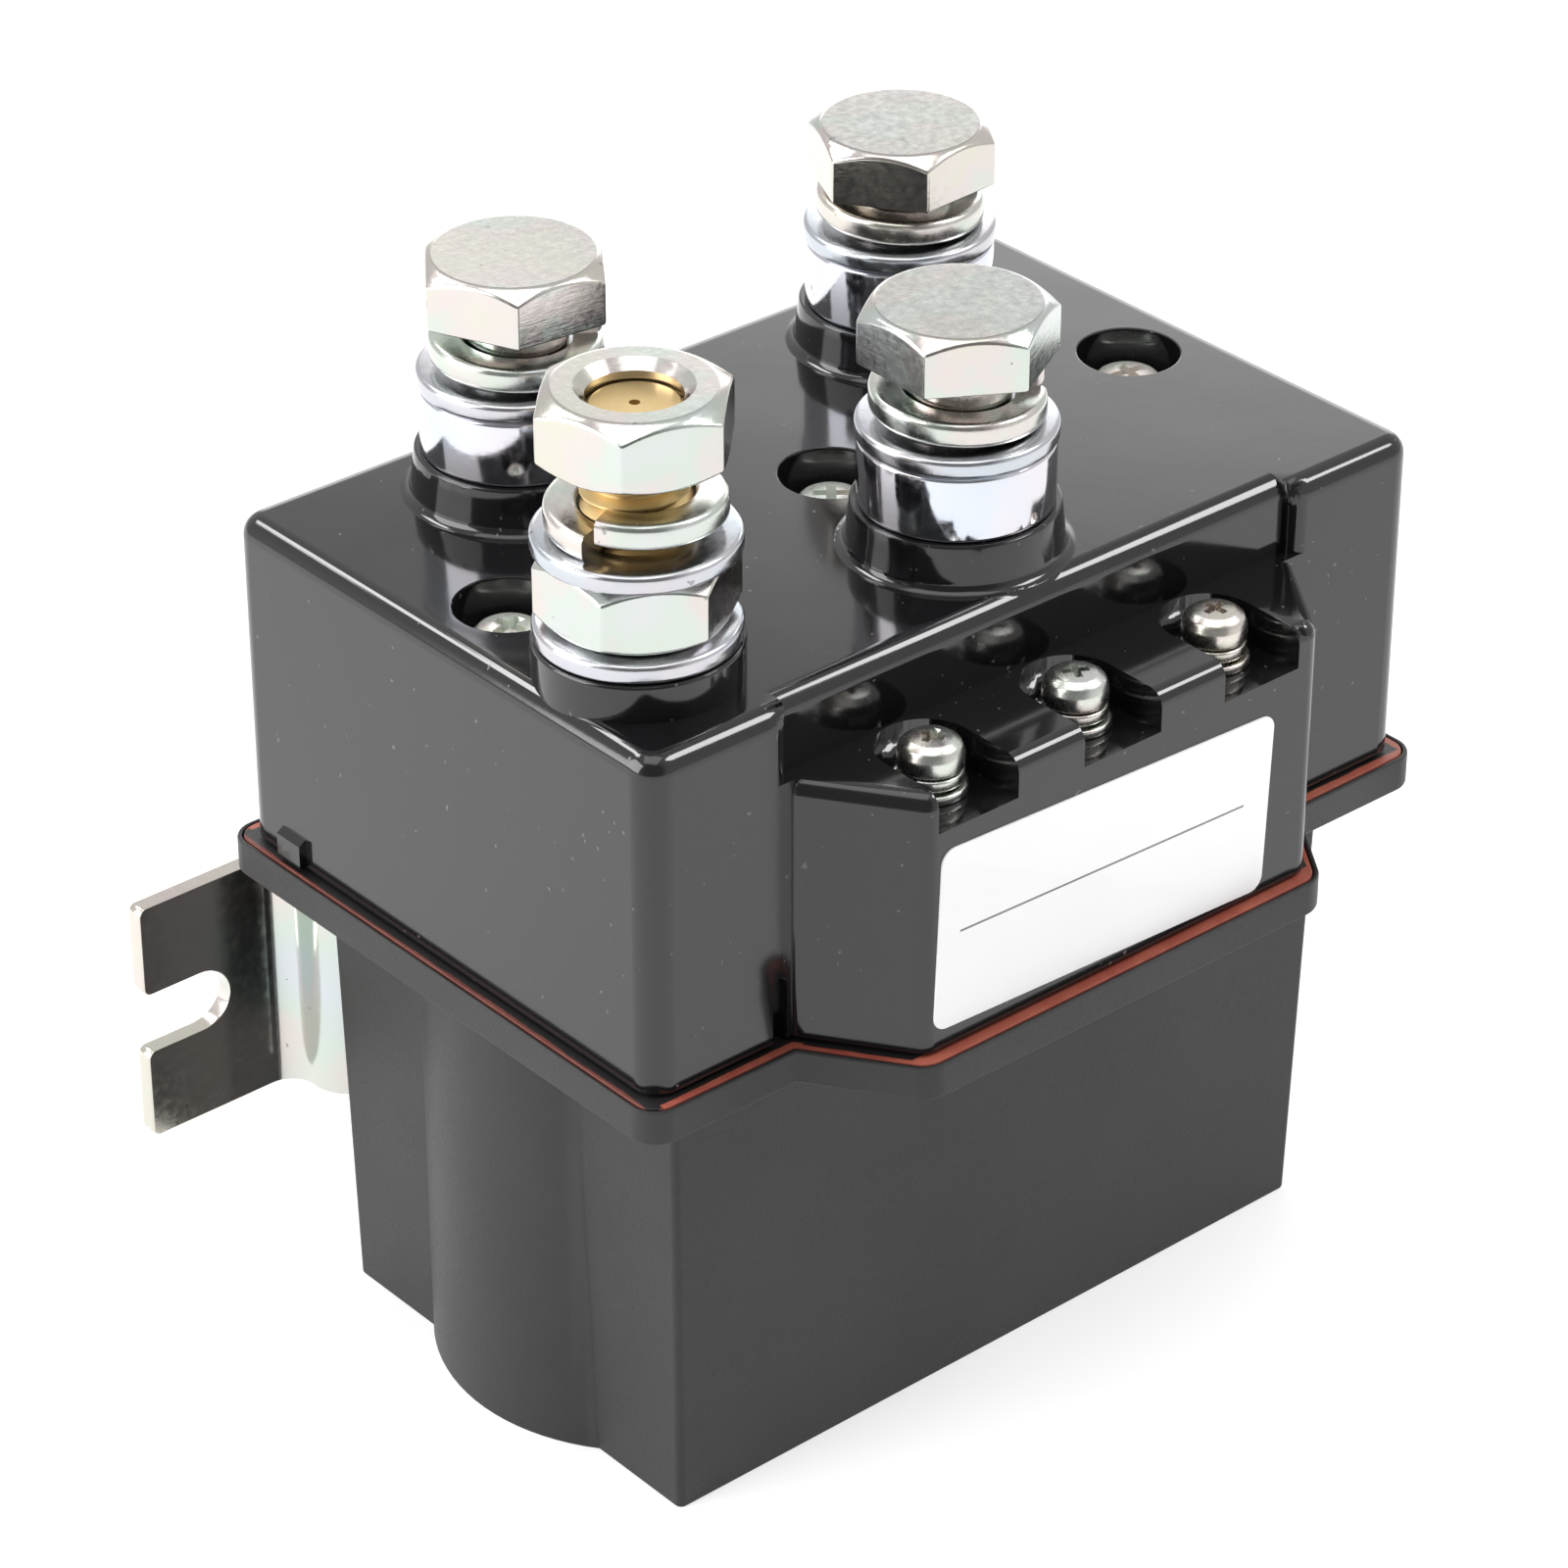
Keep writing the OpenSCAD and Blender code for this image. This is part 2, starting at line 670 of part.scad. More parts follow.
module housing() color("#2b2b2d") {
    inner_h = z_rim - floor_t + 1;
    difference() {
        union() {
            housing_box(housing_l, housing_w, housing_h, housing_draft, housing_corner_r);
            for (s = [-1, 1]) at_coil(s) cylinder(r = bulge_r, h = housing_h);
            translate([0, 0, z_flange]) linear_extrude(flange_t)
                rim_plan(flange_out, flange_corner_r);
            translate([0, 0, z_rim]) linear_extrude(lip_h) difference() {
                rim_plan(flange_out, flange_corner_r);
                rim_plan(flange_out - lip_w, flange_corner_r - lip_w);
            }
            translate([-strap_pad_l / 2, 0, strap_z - strap_pad_h / 2])
                cube([strap_pad_l, pad_y, strap_pad_h]);
        }
        difference() {
            union() {
                translate([0, 0, floor_t]) housing_box(housing_l - 2 * housing_wall,
                    housing_w - 2 * housing_wall, housing_h - floor_t + 5, housing_draft, 1);
                for (s = [-1, 1]) at_coil(s) translate([0, 0, floor_t])
                    cylinder(r = bulge_r - housing_wall, h = housing_h - floor_t + 1);
            }
            for (x = screw_xs) translate([x, 0, z_seat - screw_boss_h])
                cylinder(r = screw_boss_r, h = screw_boss_h);
            translate([-divider_t / 2, -housing_w / 2, 0])
                cube([divider_t, housing_w, z_seat]);
            for (s = [-1, 1]) translate([s * strap_screw_x, strap_boss_y, strap_z])
                rotate([-90, 0, 0]) cylinder(r = 3.6, h = housing_w / 2 - strap_boss_y);
        }
        translate([0, 0, z_seat]) linear_extrude(inner_h)
            rounded_rect(base_l + 2 * seat, base_w + 2 * seat, 2);
        for (x = screw_xs) translate([x, 0, z_screw_end - 0.5])
            cylinder(d = screw_d + 2 * fit, h = 10);
        for (s = [-1, 1]) translate([s * strap_screw_x, pad_y + 1, strap_z])
            rotate([90, 0, 0]) cylinder(d = strap_screw_d + 2 * fit,
                h = strap_screw_l - strap_t + 1.2);
    }
}

module gasket() color("#a83a2c") translate([0, 0, z_rim]) linear_extrude(gasket_t) difference() {
    rim_plan(gasket_out, flange_corner_r - flange_out + gasket_out);
    cover_plan_inside(cover_wall);
}

// Room for the cover's screw columns, cut from what would reach into them
module column_cut(z) {
    for (x = screw_xs) translate([x, 0, z + 0.01])
        cylinder(r = screw_column_r + column_room, h = z_ceiling - z);
}

// Moulded plate between solenoids and contacts, with pedestals for the lower bus bars
module contact_base() color("#5a3a26") {
    difference() {
        union() {
            translate([0, 0, z_seat]) linear_extrude(base_t) rounded_rect(base_l, base_w, 2);
            translate([-coil_x - bar_w / 2, -contact_y - bar_w / 2, z_base])
                cube([coil_pitch + bar_w, bar_w, pedestal_h]);
            for (s = [-1, 1]) at_coil(s) {
                translate([-bar_w / 2, bar_front, z_base])
                    cube([bar_w, bar_back - bar_front, pedestal_h]);
                translate([0, 0, z_base]) cylinder(r = 3.4, h = 1.2);
                for (m = [-1, 1]) translate([-yoke_w / 2, m * (leg_y - 1.5) - 1.1, z_plate_top])
                    cube([yoke_w, 2.2, z_seat - z_plate_top + 0.5]);
            }
        }
        for (x = screw_xs) translate([x, 0, z_seat - 1]) cylinder(d = screw_d + 0.5, h = 8);
        for (s = [-1, 1]) at_coil(s) translate([0, 0, z_seat - 1])
            cylinder(r = rod_r + fit, h = 8);
        column_cut(z_base);
    }
}

// Mounting strap

// Half of the strap's outline in plan, at positive X
module strap_half() {
    web_x = web_gap / 2;
    bend_o = strap_bend_r + strap_t;
    foot_y = strap_depth - strap_t;
    square([web_x - bend_o, strap_t]);
    translate([web_x - bend_o, bend_o]) difference() {
        intersection() {
            circle(bend_o);
            translate([0, -bend_o]) square(bend_o);
        }
        circle(strap_bend_r);
    }
    translate([web_x - strap_t, bend_o]) square([strap_t, foot_y - 2 * bend_o + strap_t]);
    translate([web_x + strap_bend_r, foot_y - bend_o + strap_t]) difference() {
        intersection() {
            circle(bend_o);
            translate([-bend_o, 0]) square(bend_o);
        }
        circle(strap_bend_r);
    }
    translate([web_x + strap_bend_r, foot_y])
        square([strap_l / 2 - web_x - strap_bend_r, strap_t]);
}

module mounting_strap() color("#b9b7a6") difference() {
    translate([0, pad_y, strap_z - strap_h / 2]) linear_extrude(strap_h) for (m = [0, 1])
        mirror([m, 0]) strap_half();
    for (s = [-1, 1]) {
        translate([s * (strap_l / 2 - slot_l + slot_w / 2), pad_y + strap_depth - strap_t - 1, strap_z])
            rotate([-90, 0, 0]) {
                cylinder(d = slot_w, h = strap_t + 2);
                translate([s > 0 ? 0 : -slot_l, -slot_w / 2, 0])
                    cube([slot_l, slot_w, strap_t + 2]);
            }
        translate([s * strap_screw_x, pad_y - 1, strap_z]) rotate([-90, 0, 0])
            cylinder(d = strap_screw_d + 0.4, h = strap_t + 2);
    }
}

module strap_screws() color("#c9c9c4") for (s = [-1, 1])
    translate([s * strap_screw_x, pad_y + strap_t, strap_z]) rotate([-90, 0, 0])
        pan_screw(strap_screw_d, screw_head_d, cover_screw_head_h, strap_screw_l);

module cover_screws() color("#c9c9c4") for (x = screw_xs) translate([x, 0, z_screw_head])
    pan_screw(screw_d, screw_head_d, cover_screw_head_h, z_screw_head - z_screw_end);

module label() color("#f4f4f4")
    translate([(label_left - label_right) / 2, front_y - block_out, label_z])
        rotate([90, 0, 0]) rotate(-label_tilt) linear_extrude(label_t)
            rounded_rect(label_l, label_h, label_r);

// Power terminals

// Threaded post; its tail reaches down to the bus bar at z_end
module post(x, y, z_end) {
    bevel = 0.3;
    color("#d6d8dc") translate([x, y, 0]) difference() {
        rotate_extrude() polygon([
            [0, z_end], [post_tail_r, z_end], [post_tail_r, z_top - 7.6],
            [post_shank_r, z_top - 7.6], [post_shank_r, z_post],
            [post_r - bevel, z_post], [post_r, z_post + bevel], [post_r, z_post_top - bevel],
            [post_r - bevel, z_post_top], [0, z_post_top]]);
        translate([0, 0, z_post_top - post_bore_l])
            cylinder(d = thread_d, h = post_bore_l + 1);
    }
}

module positive_post() post(0, front_row_y, z_lower_bar + bar_t);
module output_post_left() post(-coil_x, back_row_y, z_bars_top);
module output_post_right() post(coil_x, back_row_y, z_bars_top);

module bolt(x, y, lift, turn) translate([x, y, z_head + lift]) rotate(turn) {
    hexagon(bolt_head_h, false);
    translate([0, 0, -bolt_l]) cylinder(r = thread_r, h = bolt_l + 0.5);
}

module terminal_bolts() color("#cfcfc4") {
    bolt(0, front_row_y, front_lift, front_bolt_turn);
    bolt(-coil_x, back_row_y, left_lift, left_bolt_turn);
    bolt(coil_x, back_row_y, 0, right_bolt_turn);
}

module at_posts() {
    translate([0, front_row_y, 0]) children();
    for (s = [-1, 1]) translate([s * coil_x, back_row_y, 0]) children();
}

module flat_washer() tube(washer_d / 2, thread_d / 2 + 0.2, washer_t);

module big_split_washer(start)
    split_washer(split_d / 2, thread_d / 2 + 0.15, split_t, split_rise, start);

module post_washers() color("#d0d4da") at_posts() translate([0, 0, z_post_top]) flat_washer();

module post_split_washers() color("#c8c8c2") at_posts()
    translate([0, 0, z_split]) big_split_washer(post_split_turn);

module negative_stud() color("#c99a4a") translate([stud_x, stud_y, 0]) {
    bevel = 0.7;
    rotate_extrude() polygon([
        [0, z_upper_bar - stud_foot_h], [stud_foot_r, z_upper_bar - stud_foot_h],
        [stud_foot_r, z_upper_bar], [thread_r, z_upper_bar],
        [thread_r, z_stud_end - bevel], [thread_r - bevel, z_stud_end], [0, z_stud_end]]);
}

module nut(z, turn) color("#cdcdc3") translate([stud_x, stud_y, z]) rotate(turn)
    difference() {
        hexagon(nut_h, true);
        translate([0, 0, -1]) cylinder(d = thread_d, h = nut_h + 2);
        translate([0, 0, nut_h - 0.5]) cylinder(d1 = thread_d, d2 = thread_d + 1.2, h = 0.6);
    }

module stud_lower_nut() nut(z_stud_nut, lower_nut_turn);
module stud_top_nut() nut(z_stud_top_nut, top_nut_turn);

module stud_washers() color("#d0d4da") for (z = [z_stud_washer, z_stud_washer2])
    translate([stud_x, stud_y, z]) flat_washer();

module stud_split_washer() color("#c8c8c2")
    translate([stud_x, stud_y, z_stud_split]) big_split_washer(stud_split_turn);

// Coil terminals

module at_coil_screws() for (i = [-1 : 1])
    translate([i * pocket_pitch - pocket_shift, coil_screw_y, 0]) children();

module coil_screws() color("#b8b8b4") at_coil_screws() translate([0, 0, z_coil_head])
    pan_screw(coil_screw_d, coil_head_d, coil_head_h, coil_screw_l);

module coil_split_washers() color("#b0b0ac") at_coil_screws() translate([0, 0, z_coil_split])
    split_washer(coil_split_r, coil_screw_d / 2 + 0.15, coil_split_t, coil_split_rise,
        coil_split_turn);

module coil_flat_washers() color("#b8b8b4") at_coil_screws() translate([0, 0, z_pocket])
    tube(coil_washer_r, coil_screw_d / 2 + 0.15, coil_washer_t);

module coil_inserts() color("#c99a4a") at_coil_screws() difference() {
    union() {
        translate([0, 0, z_pocket - insert_l]) cylinder(r = insert_r, h = insert_l);
        translate([0, 0, z_pocket - insert_l]) cylinder(r = insert_flange_r, h = insert_flange_t);
    }
    translate([0, 0, z_pocket - insert_l - 1])
        cylinder(d = coil_screw_d + 2 * fit, h = insert_l + 2);
}

// Bus bars

module positive_bar() color("#b87333") {
    ring_r = 5.4;
    difference() {
        translate([0, 0, z_lower_bar]) union() {
            translate([-coil_x - bar_w / 2, -contact_y - bar_w / 2, 0])
                cube([coil_pitch + bar_w, bar_w, bar_t]);
            translate([0, front_row_y, 0]) cylinder(r = ring_r, h = bar_t);
        }
        for (s = [-1, 1]) translate([s * coil_x, -contact_y, z_lower_bar - 1])
            cylinder(r = contact_shank_r + fit, h = bar_t + 2);
        column_cut(z_base);
    }
}

module negative_bar() color("#b87333") {
    ring_r = front_row_in - cover_wall - block_notch - 0.4;
    stud_ring_r = stud_in - cover_wall - 0.4;
    difference() {
        translate([0, 0, z_upper_bar]) union() {
            translate([stud_x, -contact_y - bar_w / 2, 0])
                cube([coil_x + bar_w / 2 - stud_x, bar_w, bar_t]);
            translate([0, front_row_y, 0]) cylinder(r = ring_r, h = bar_t);
            translate([stud_x, stud_y, 0]) cylinder(r = stud_ring_r, h = bar_t);
        }
        translate([0, front_row_y, z_upper_bar - 1])
            cylinder(r = post_tail_r + 1.2, h = bar_t + 2);
        translate([stud_x, stud_y, z_upper_bar - 1])
            cylinder(d = thread_d, h = bar_t + 2);
        for (s = [-1, 1]) translate([s * coil_x, -contact_y, z_upper_bar - 1])
            cylinder(r = contact_shank_r + fit, h = bar_t + 2);
        column_cut(z_base);
    }
}

// U-shaped bar that joins an upper and a lower contact to an output post
module output_bar(side) color("#b87333") at_coil(side) difference() {
    y0 = bar_front;
    y1 = bar_back;
    translate([-bar_w / 2, 0, 0]) rotate([90, 0, 90]) linear_extrude(bar_w) polygon([
        [y0, z_lower_bar], [y1, z_lower_bar], [y1, z_bars_top], [y0, z_bars_top],
        [y0, z_upper_bar], [y1 - bar_t, z_upper_bar], [y1 - bar_t, z_lower_bar + bar_t],
        [y0, z_lower_bar + bar_t]]);
    translate([0, contact_y, z_lower_bar - 1])
        cylinder(r = contact_shank_r + fit, h = z_bars_top - z_lower_bar + 2);
}

module output_bar_left() output_bar(-1);
module output_bar_right() output_bar(1);

// Fixed contact rivets: heads up on the lower bars, heads down on the upper bars
module fixed_contacts() color("#dfe0e0") for (s = [-1, 1], y = [-contact_y, contact_y])
    translate([s * coil_x, y, 0]) {
        translate([0, 0, z_lower_bar]) {
            cylinder(r = contact_shank_r, h = bar_t + 0.1);
            translate([0, 0, bar_t]) cylinder(r = contact_r, h = contact_t);
        }
        translate([0, 0, z_upper_bar]) {
            translate([0, 0, -0.1]) cylinder(r = contact_shank_r, h = bar_t + 0.1);
            translate([0, 0, -contact_t]) cylinder(r = contact_r, h = contact_t);
        }
    }

// Solenoids

module yoke(side) color("#9a9c9e") at_coil(side) {
    difference() {
        union() {
            translate([-yoke_w / 2, -leg_y - yoke_t, z_yoke])
                cube([yoke_w, 2 * (leg_y + yoke_t), yoke_t]);
            for (m = [0, 1]) mirror([0, m, 0]) translate([-yoke_w / 2, leg_y, z_yoke])
                cube([yoke_w, yoke_t, z_plate - z_yoke]);
        }
        translate([0, 0, z_yoke - 1]) cylinder(r = 3 + fit, h = yoke_t + 2);
    }
}

module top_plate(side) color("#9a9c9e") at_coil(side) translate([0, 0, z_plate]) difference() {
    half = leg_y + yoke_t;
    translate([-yoke_w / 2, -half, 0]) cube([yoke_w, 2 * half, yoke_t]);
    translate([0, 0, -1]) cylinder(r = bobbin_bore_r, h = yoke_t + 2);
}

module core(side) color("#8e9092") at_coil(side) difference() {
    union() {
        translate([0, 0, z_coil]) cylinder(r = plunger_r, h = core_h);
        translate([0, 0, z_yoke]) cylinder(r = 3, h = yoke_t + 0.1);
    }
    translate([0, 0, z_core_end - spring_bore_l]) cylinder(r = spring_bore_r, h = spring_bore_l + 1);
}

module bobbin(side) color("#d8d4c4") at_coil(side) translate([0, 0, z_coil]) difference() {
    union() {
        cylinder(r = tube_r, h = bobbin_h);
        cylinder(r = bobbin_r, h = bobbin_flange_t);
        translate([0, 0, bobbin_h - bobbin_flange_t])
            cylinder(r = bobbin_r, h = bobbin_flange_t);
    }
    translate([0, 0, -1]) cylinder(r = bobbin_bore_r, h = bobbin_h + 2);
}

module winding(side) color("#a8561e") at_coil(side)
    translate([0, 0, z_coil + bobbin_flange_t + fit])
        tube(winding_r, tube_r + fit, bobbin_h - 2 * (bobbin_flange_t + fit));

module plunger(side) color("#a4a6a8") at_coil(side) translate([0, 0, z_plunger]) difference() {
    cylinder(r = plunger_r, h = plunger_l);
    translate([0, 0, -1]) cylinder(r = spring_bore_r, h = spring_bore_l + 1);
    translate([0, 0, plunger_l - rod_root]) cylinder(r = rod_r + 0.02, h = rod_root + 1);
}

module rod(side) color("#c2c4c6") at_coil(side) {
    z0 = z_plunger + plunger_l - rod_root;
    translate([0, 0, z0]) cylinder(r = rod_r, h = z_clip + clip_t + 0.8 - z0);
}

module return_spring(side) color("#8c8e90") at_coil(side) coil_spring(
    2.1, return_wire_r, z_core_end - spring_bore_l + fit, z_plunger + spring_bore_l - fit, 8);

// Insulating sleeve that carries the bridge on the rod
module carrier(side) color("#e3dcc8") at_coil(side) difference() {
    foot = 2.2;
    union() {
        translate([0, 0, z_bridge - foot]) cylinder(r = carrier_r, h = foot);
        translate([0, 0, z_bridge - 0.1]) cylinder(r = carrier_spigot_r, h = bridge_t + 0.1);
    }
    translate([0, 0, z_bridge - foot - 1]) cylinder(r = rod_r + fit, h = foot + bridge_t + 2);
}

module bridge(side) color("#b87333") at_coil(side) translate([0, 0, z_bridge]) difference() {
    translate([-bridge_w / 2, -bridge_l / 2, 0]) cube([bridge_w, bridge_l, bridge_t]);
    translate([0, 0, -1]) cylinder(r = carrier_spigot_r + fit, h = bridge_t + 2);
    for (m = [-1, 1]) translate([0, m * contact_y, -1])
        cylinder(r = contact_shank_r + fit, h = bridge_t + 2);
}

module moving_contacts(side) color("#dfe0e0") at_coil(side) for (m = [-1, 1])
    translate([0, m * contact_y, z_bridge]) {
        translate([0, 0, -contact_t]) cylinder(r = contact_r, h = contact_t);
        translate([0, 0, -0.1]) cylinder(r = contact_shank_r, h = bridge_t + 0.2);
        translate([0, 0, bridge_t]) cylinder(r = contact_r, h = contact_t);
    }

module contact_washer(side) color("#e3dcc8") at_coil(side) translate([0, 0, z_bridge_top])
    tube(carrier_r, rod_r + fit, contact_washer_t);

module contact_spring(side) color("#8c8e90") at_coil(side) coil_spring(
    rod_r + 1.3, contact_wire_r, z_contact_spring + fit, z_clip - fit, 3);

module clip(side) color("#9a9c9e") at_coil(side) translate([0, 0, z_clip])
    tube(rod_r + 2.2, rod_r + fit, clip_t);

module yoke_left() yoke(-1);
module yoke_right() yoke(1);
module top_plate_left() top_plate(-1);
module top_plate_right() top_plate(1);
module core_left() core(-1);
module core_right() core(1);
module bobbin_left() bobbin(-1);
module bobbin_right() bobbin(1);
module winding_left() winding(-1);
module winding_right() winding(1);
module plunger_left() plunger(-1);
module plunger_right() plunger(1);
module rod_left() rod(-1);
module rod_right() rod(1);
module return_spring_left() return_spring(-1);
module return_spring_right() return_spring(1);
module carrier_left() carrier(-1);
module carrier_right() carrier(1);
module bridge_left() bridge(-1);
module bridge_right() bridge(1);
module moving_contacts_left() moving_contacts(-1);
module moving_contacts_right() moving_contacts(1);
module contact_washer_left() contact_washer(-1);
module contact_washer_right() contact_washer(1);
module contact_spring_left() contact_spring(-1);
module contact_spring_right() contact_spring(1);
module clip_left() clip(-1);
module clip_right() clip(1);

cover();
housing();
gasket();
contact_base();
mounting_strap();
strap_screws();
cover_screws();
label();
positive_post();
output_post_left();
output_post_right();
terminal_bolts();
post_washers();
post_split_washers();
negative_stud();
stud_lower_nut();
stud_top_nut();
stud_washers();
stud_split_washer();
coil_screws();
coil_split_washers();
coil_flat_washers();
coil_inserts();
positive_bar();
negative_bar();
output_bar_left();
output_bar_right();
fixed_contacts();
yoke_left();
yoke_right();
top_plate_left();
top_plate_right();
core_left();
core_right();
bobbin_left();
bobbin_right();
winding_left();
winding_right();
plunger_left();
plunger_right();
rod_left();
rod_right();
return_spring_left();
return_spring_right();
carrier_left();
carrier_right();
bridge_left();
bridge_right();
moving_contacts_left();
moving_contacts_right();
contact_washer_left();
contact_washer_right();
contact_spring_left();
contact_spring_right();
clip_left();
clip_right();
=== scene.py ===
import bpy
import bmesh
import json
from math import radians, sin, cos, pi, sqrt
from mathutils import Matrix, Vector


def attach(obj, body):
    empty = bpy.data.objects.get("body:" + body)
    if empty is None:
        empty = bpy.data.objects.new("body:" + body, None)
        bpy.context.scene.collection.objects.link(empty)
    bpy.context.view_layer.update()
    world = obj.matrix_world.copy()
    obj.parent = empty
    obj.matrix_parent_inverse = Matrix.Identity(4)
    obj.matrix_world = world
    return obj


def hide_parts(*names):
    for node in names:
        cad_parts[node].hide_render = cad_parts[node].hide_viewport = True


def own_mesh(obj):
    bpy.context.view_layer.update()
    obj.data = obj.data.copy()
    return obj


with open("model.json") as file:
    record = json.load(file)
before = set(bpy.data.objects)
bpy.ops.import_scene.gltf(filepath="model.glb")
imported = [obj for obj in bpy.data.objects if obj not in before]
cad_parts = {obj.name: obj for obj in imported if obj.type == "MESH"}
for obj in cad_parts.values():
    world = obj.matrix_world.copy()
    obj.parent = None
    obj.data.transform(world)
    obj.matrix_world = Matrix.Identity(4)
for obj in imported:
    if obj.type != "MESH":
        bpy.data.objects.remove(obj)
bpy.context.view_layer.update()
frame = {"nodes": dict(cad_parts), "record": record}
nodes = frame["nodes"]
mm = 0.001
weld = 0.001 * mm  # points nearer to each other than this are one point
print("frame loaded:", len(nodes), "nodes")


# Camera at the photograph's angle

cameraLook = {
    "azimuth": -40.694,
    "elevation": 31.247,
    "place": (-240.19, -273.88, 263.19),
    "lens": 126.59,
    "sensor": 36,
    "near": 0.01,
    "far": 20,
}


def makeCamera(look):
    azimuth = radians(look["azimuth"])
    elevation = radians(look["elevation"])
    back = Vector((sin(azimuth) * cos(elevation), -cos(azimuth) * cos(elevation), sin(elevation)))
    data = bpy.data.cameras.new("photoCamera")
    data.lens = look["lens"]
    data.sensor_width = look["sensor"]
    data.sensor_height = look["sensor"]
    data.clip_start = look["near"]
    data.clip_end = look["far"]
    camera = bpy.data.objects.new("photoCamera", data)
    camera.location = Vector(look["place"]) * mm
    camera.rotation_euler = (-back).to_track_quat("-Z", "Y").to_euler()
    bpy.context.scene.collection.objects.link(camera)
    bpy.context.scene.camera = camera


makeCamera(cameraLook)
print("camera set")


# Shader helpers

class Wire:
    # An output socket that takes part in plain arithmetic
    def __init__(self, graph, socket):
        self.graph = graph
        self.socket = socket

    def __add__(self, other):
        return self.graph.maths("ADD", self, other)

    def __radd__(self, other):
        return self.graph.maths("ADD", other, self)

    def __sub__(self, other):
        return self.graph.maths("SUBTRACT", self, other)

    def __rsub__(self, other):
        return self.graph.maths("SUBTRACT", other, self)

    def __mul__(self, other):
        return self.graph.maths("MULTIPLY", self, other)

    def __rmul__(self, other):
        return self.graph.maths("MULTIPLY", other, self)

    def __abs__(self):
        return self.graph.add("ShaderNodeMath", {"operation": "ABSOLUTE"}, {0: self})

    def above(self, limit):
        return self.graph.maths("GREATER_THAN", self, limit)

    def below(self, limit):
        return self.graph.maths("LESS_THAN", self, limit)

    def larger(self, other):
        return self.graph.maths("MAXIMUM", self, other)

    def smaller(self, other):
        return self.graph.maths("MINIMUM", self, other)


class Graph:
    # The node tree of one material, built one call at a time
    def __init__(self, name, tree=None):
        self.tree = tree
        if tree is None:
            self.material = bpy.data.materials.new(name)
            self.material.use_nodes = True
            self.tree = self.material.node_tree
            self.shader = self.tree.nodes["Principled BSDF"]

    def add(self, kind, settings=None, inputs=None, output=0):
        node = self.tree.nodes.new(kind)
        for name, value in (settings or {}).items():
            if name == "stops":
                self.setStops(node, value)
            else:
                setattr(node, name, value)
        for key, value in (inputs or {}).items():
            self.plug(node.inputs[key], value)
        return Wire(self, node.outputs[output])

    def setStops(self, node, stops):
        elements = node.color_ramp.elements
        while len(elements) > len(stops):
            elements.remove(elements[-1])
        while len(elements) < len(stops):
            elements.new(1.0)
        for element, (place, colour) in zip(elements, stops):
            element.position = place
            element.color = colour

    def plug(self, socket, value):
        if isinstance(value, Wire):
            self.tree.links.new(value.socket, socket)
        else:
            socket.default_value = value

    def look(self, **inputs):
        for name, value in inputs.items():
            self.plug(self.shader.inputs[name.replace("_", " ")], value)
        return self.material

    def maths(self, operation, first, second):
        return self.add("ShaderNodeMath", {"operation": operation}, {0: first, 1: second})

    def along(self, axis, kind="Object"):
        # One coordinate of the surface: 0 is X, 1 is Y and 2 is Z
        where = self.add("ShaderNodeTexCoord", output=kind)
        return self.add("ShaderNodeSeparateXYZ", {}, {0: where}, output=axis)

    def stretched(self, scale):
        where = self.add("ShaderNodeTexCoord", output="Object")
        return self.add("ShaderNodeMapping", {}, {"Vector": where, "Scale": scale})

    def noise(self, scale, detail, rough, vector=None):
        where = vector or self.add("ShaderNodeTexCoord", output="Object")
        return self.add("ShaderNodeTexNoise", {}, {
            "Vector": where, "Scale": scale, "Detail": detail, "Roughness": rough})

    def spread(self, value, low, high, toLow, toHigh):
        return self.add("ShaderNodeMapRange", {}, {
            0: value, 1: low, 2: high, 3: toLow, 4: toHigh})

    def blend(self, factor, first, second):
        return self.add("ShaderNodeMix", {"data_type": "RGBA"}, {0: factor, 6: first, 7: second},
                        output=2)

    def bump(self, height, strength, distance, normal=None):
        inputs = {"Height": height, "Strength": strength, "Distance": distance}
        if normal:
            inputs["Normal"] = normal
        return self.add("ShaderNodeBump", {}, inputs)


# Plastics and rubber: a pattern is scale, detail and roughness, a bump is strength and distance

glossMould = {
    "tint": (0.0065, 0.0065, 0.0072, 1),
    "gloss": 0.085,
    "haze": 0.05,
    "cloud": (60, 4, 0.6),
    "cloudSpan": (0.3, 0.8),
    "speck": (1500, 1, 0.4),
    "speckLimit": 0.775,
    "dust": 0.16,
    "dustTint": (0.5, 0.48, 0.45, 1),
    "sink": (45, 2, 0.4),
    "sinkBump": (0.10, 0.0006),
    "grain": (900, 2, 0.5),
    "grainBump": (0.02, 0.0001),
    "ior": 1.58,
}


def makeGlossMould(look):
    graph = Graph("glossMould")
    dust = graph.noise(*look["speck"]).above(look["speckLimit"]) * look["dust"]
    tint = graph.blend(dust, look["tint"], look["dustTint"])
    waves = graph.bump(graph.noise(*look["sink"]), *look["sinkBump"])
    normal = graph.bump(graph.noise(*look["grain"]), *look["grainBump"], waves)
    cloud = graph.noise(*look["cloud"])
    gloss = graph.spread(cloud, *look["cloudSpan"], look["gloss"], look["gloss"] + look["haze"])
    return graph.look(Base_Color=tint, Roughness=gloss + dust, Normal=normal, IOR=look["ior"])


satinMould = {
    "tint": (0.011, 0.011, 0.012, 1),
    "pale": (0.02, 0.02, 0.021, 1),
    "rough": 0.46,
    "smoother": 0.05,
    "rougher": 0.08,
    "cloud": (40, 5, 0.65),
    "cloudSpan": (0.35, 0.75),
    "grain": (5200, 2, 0.7),
    "grainSpan": (0.3, 0.7),
    "grainBump": (0.22, 0.00012),
    "ior": 1.46,
}


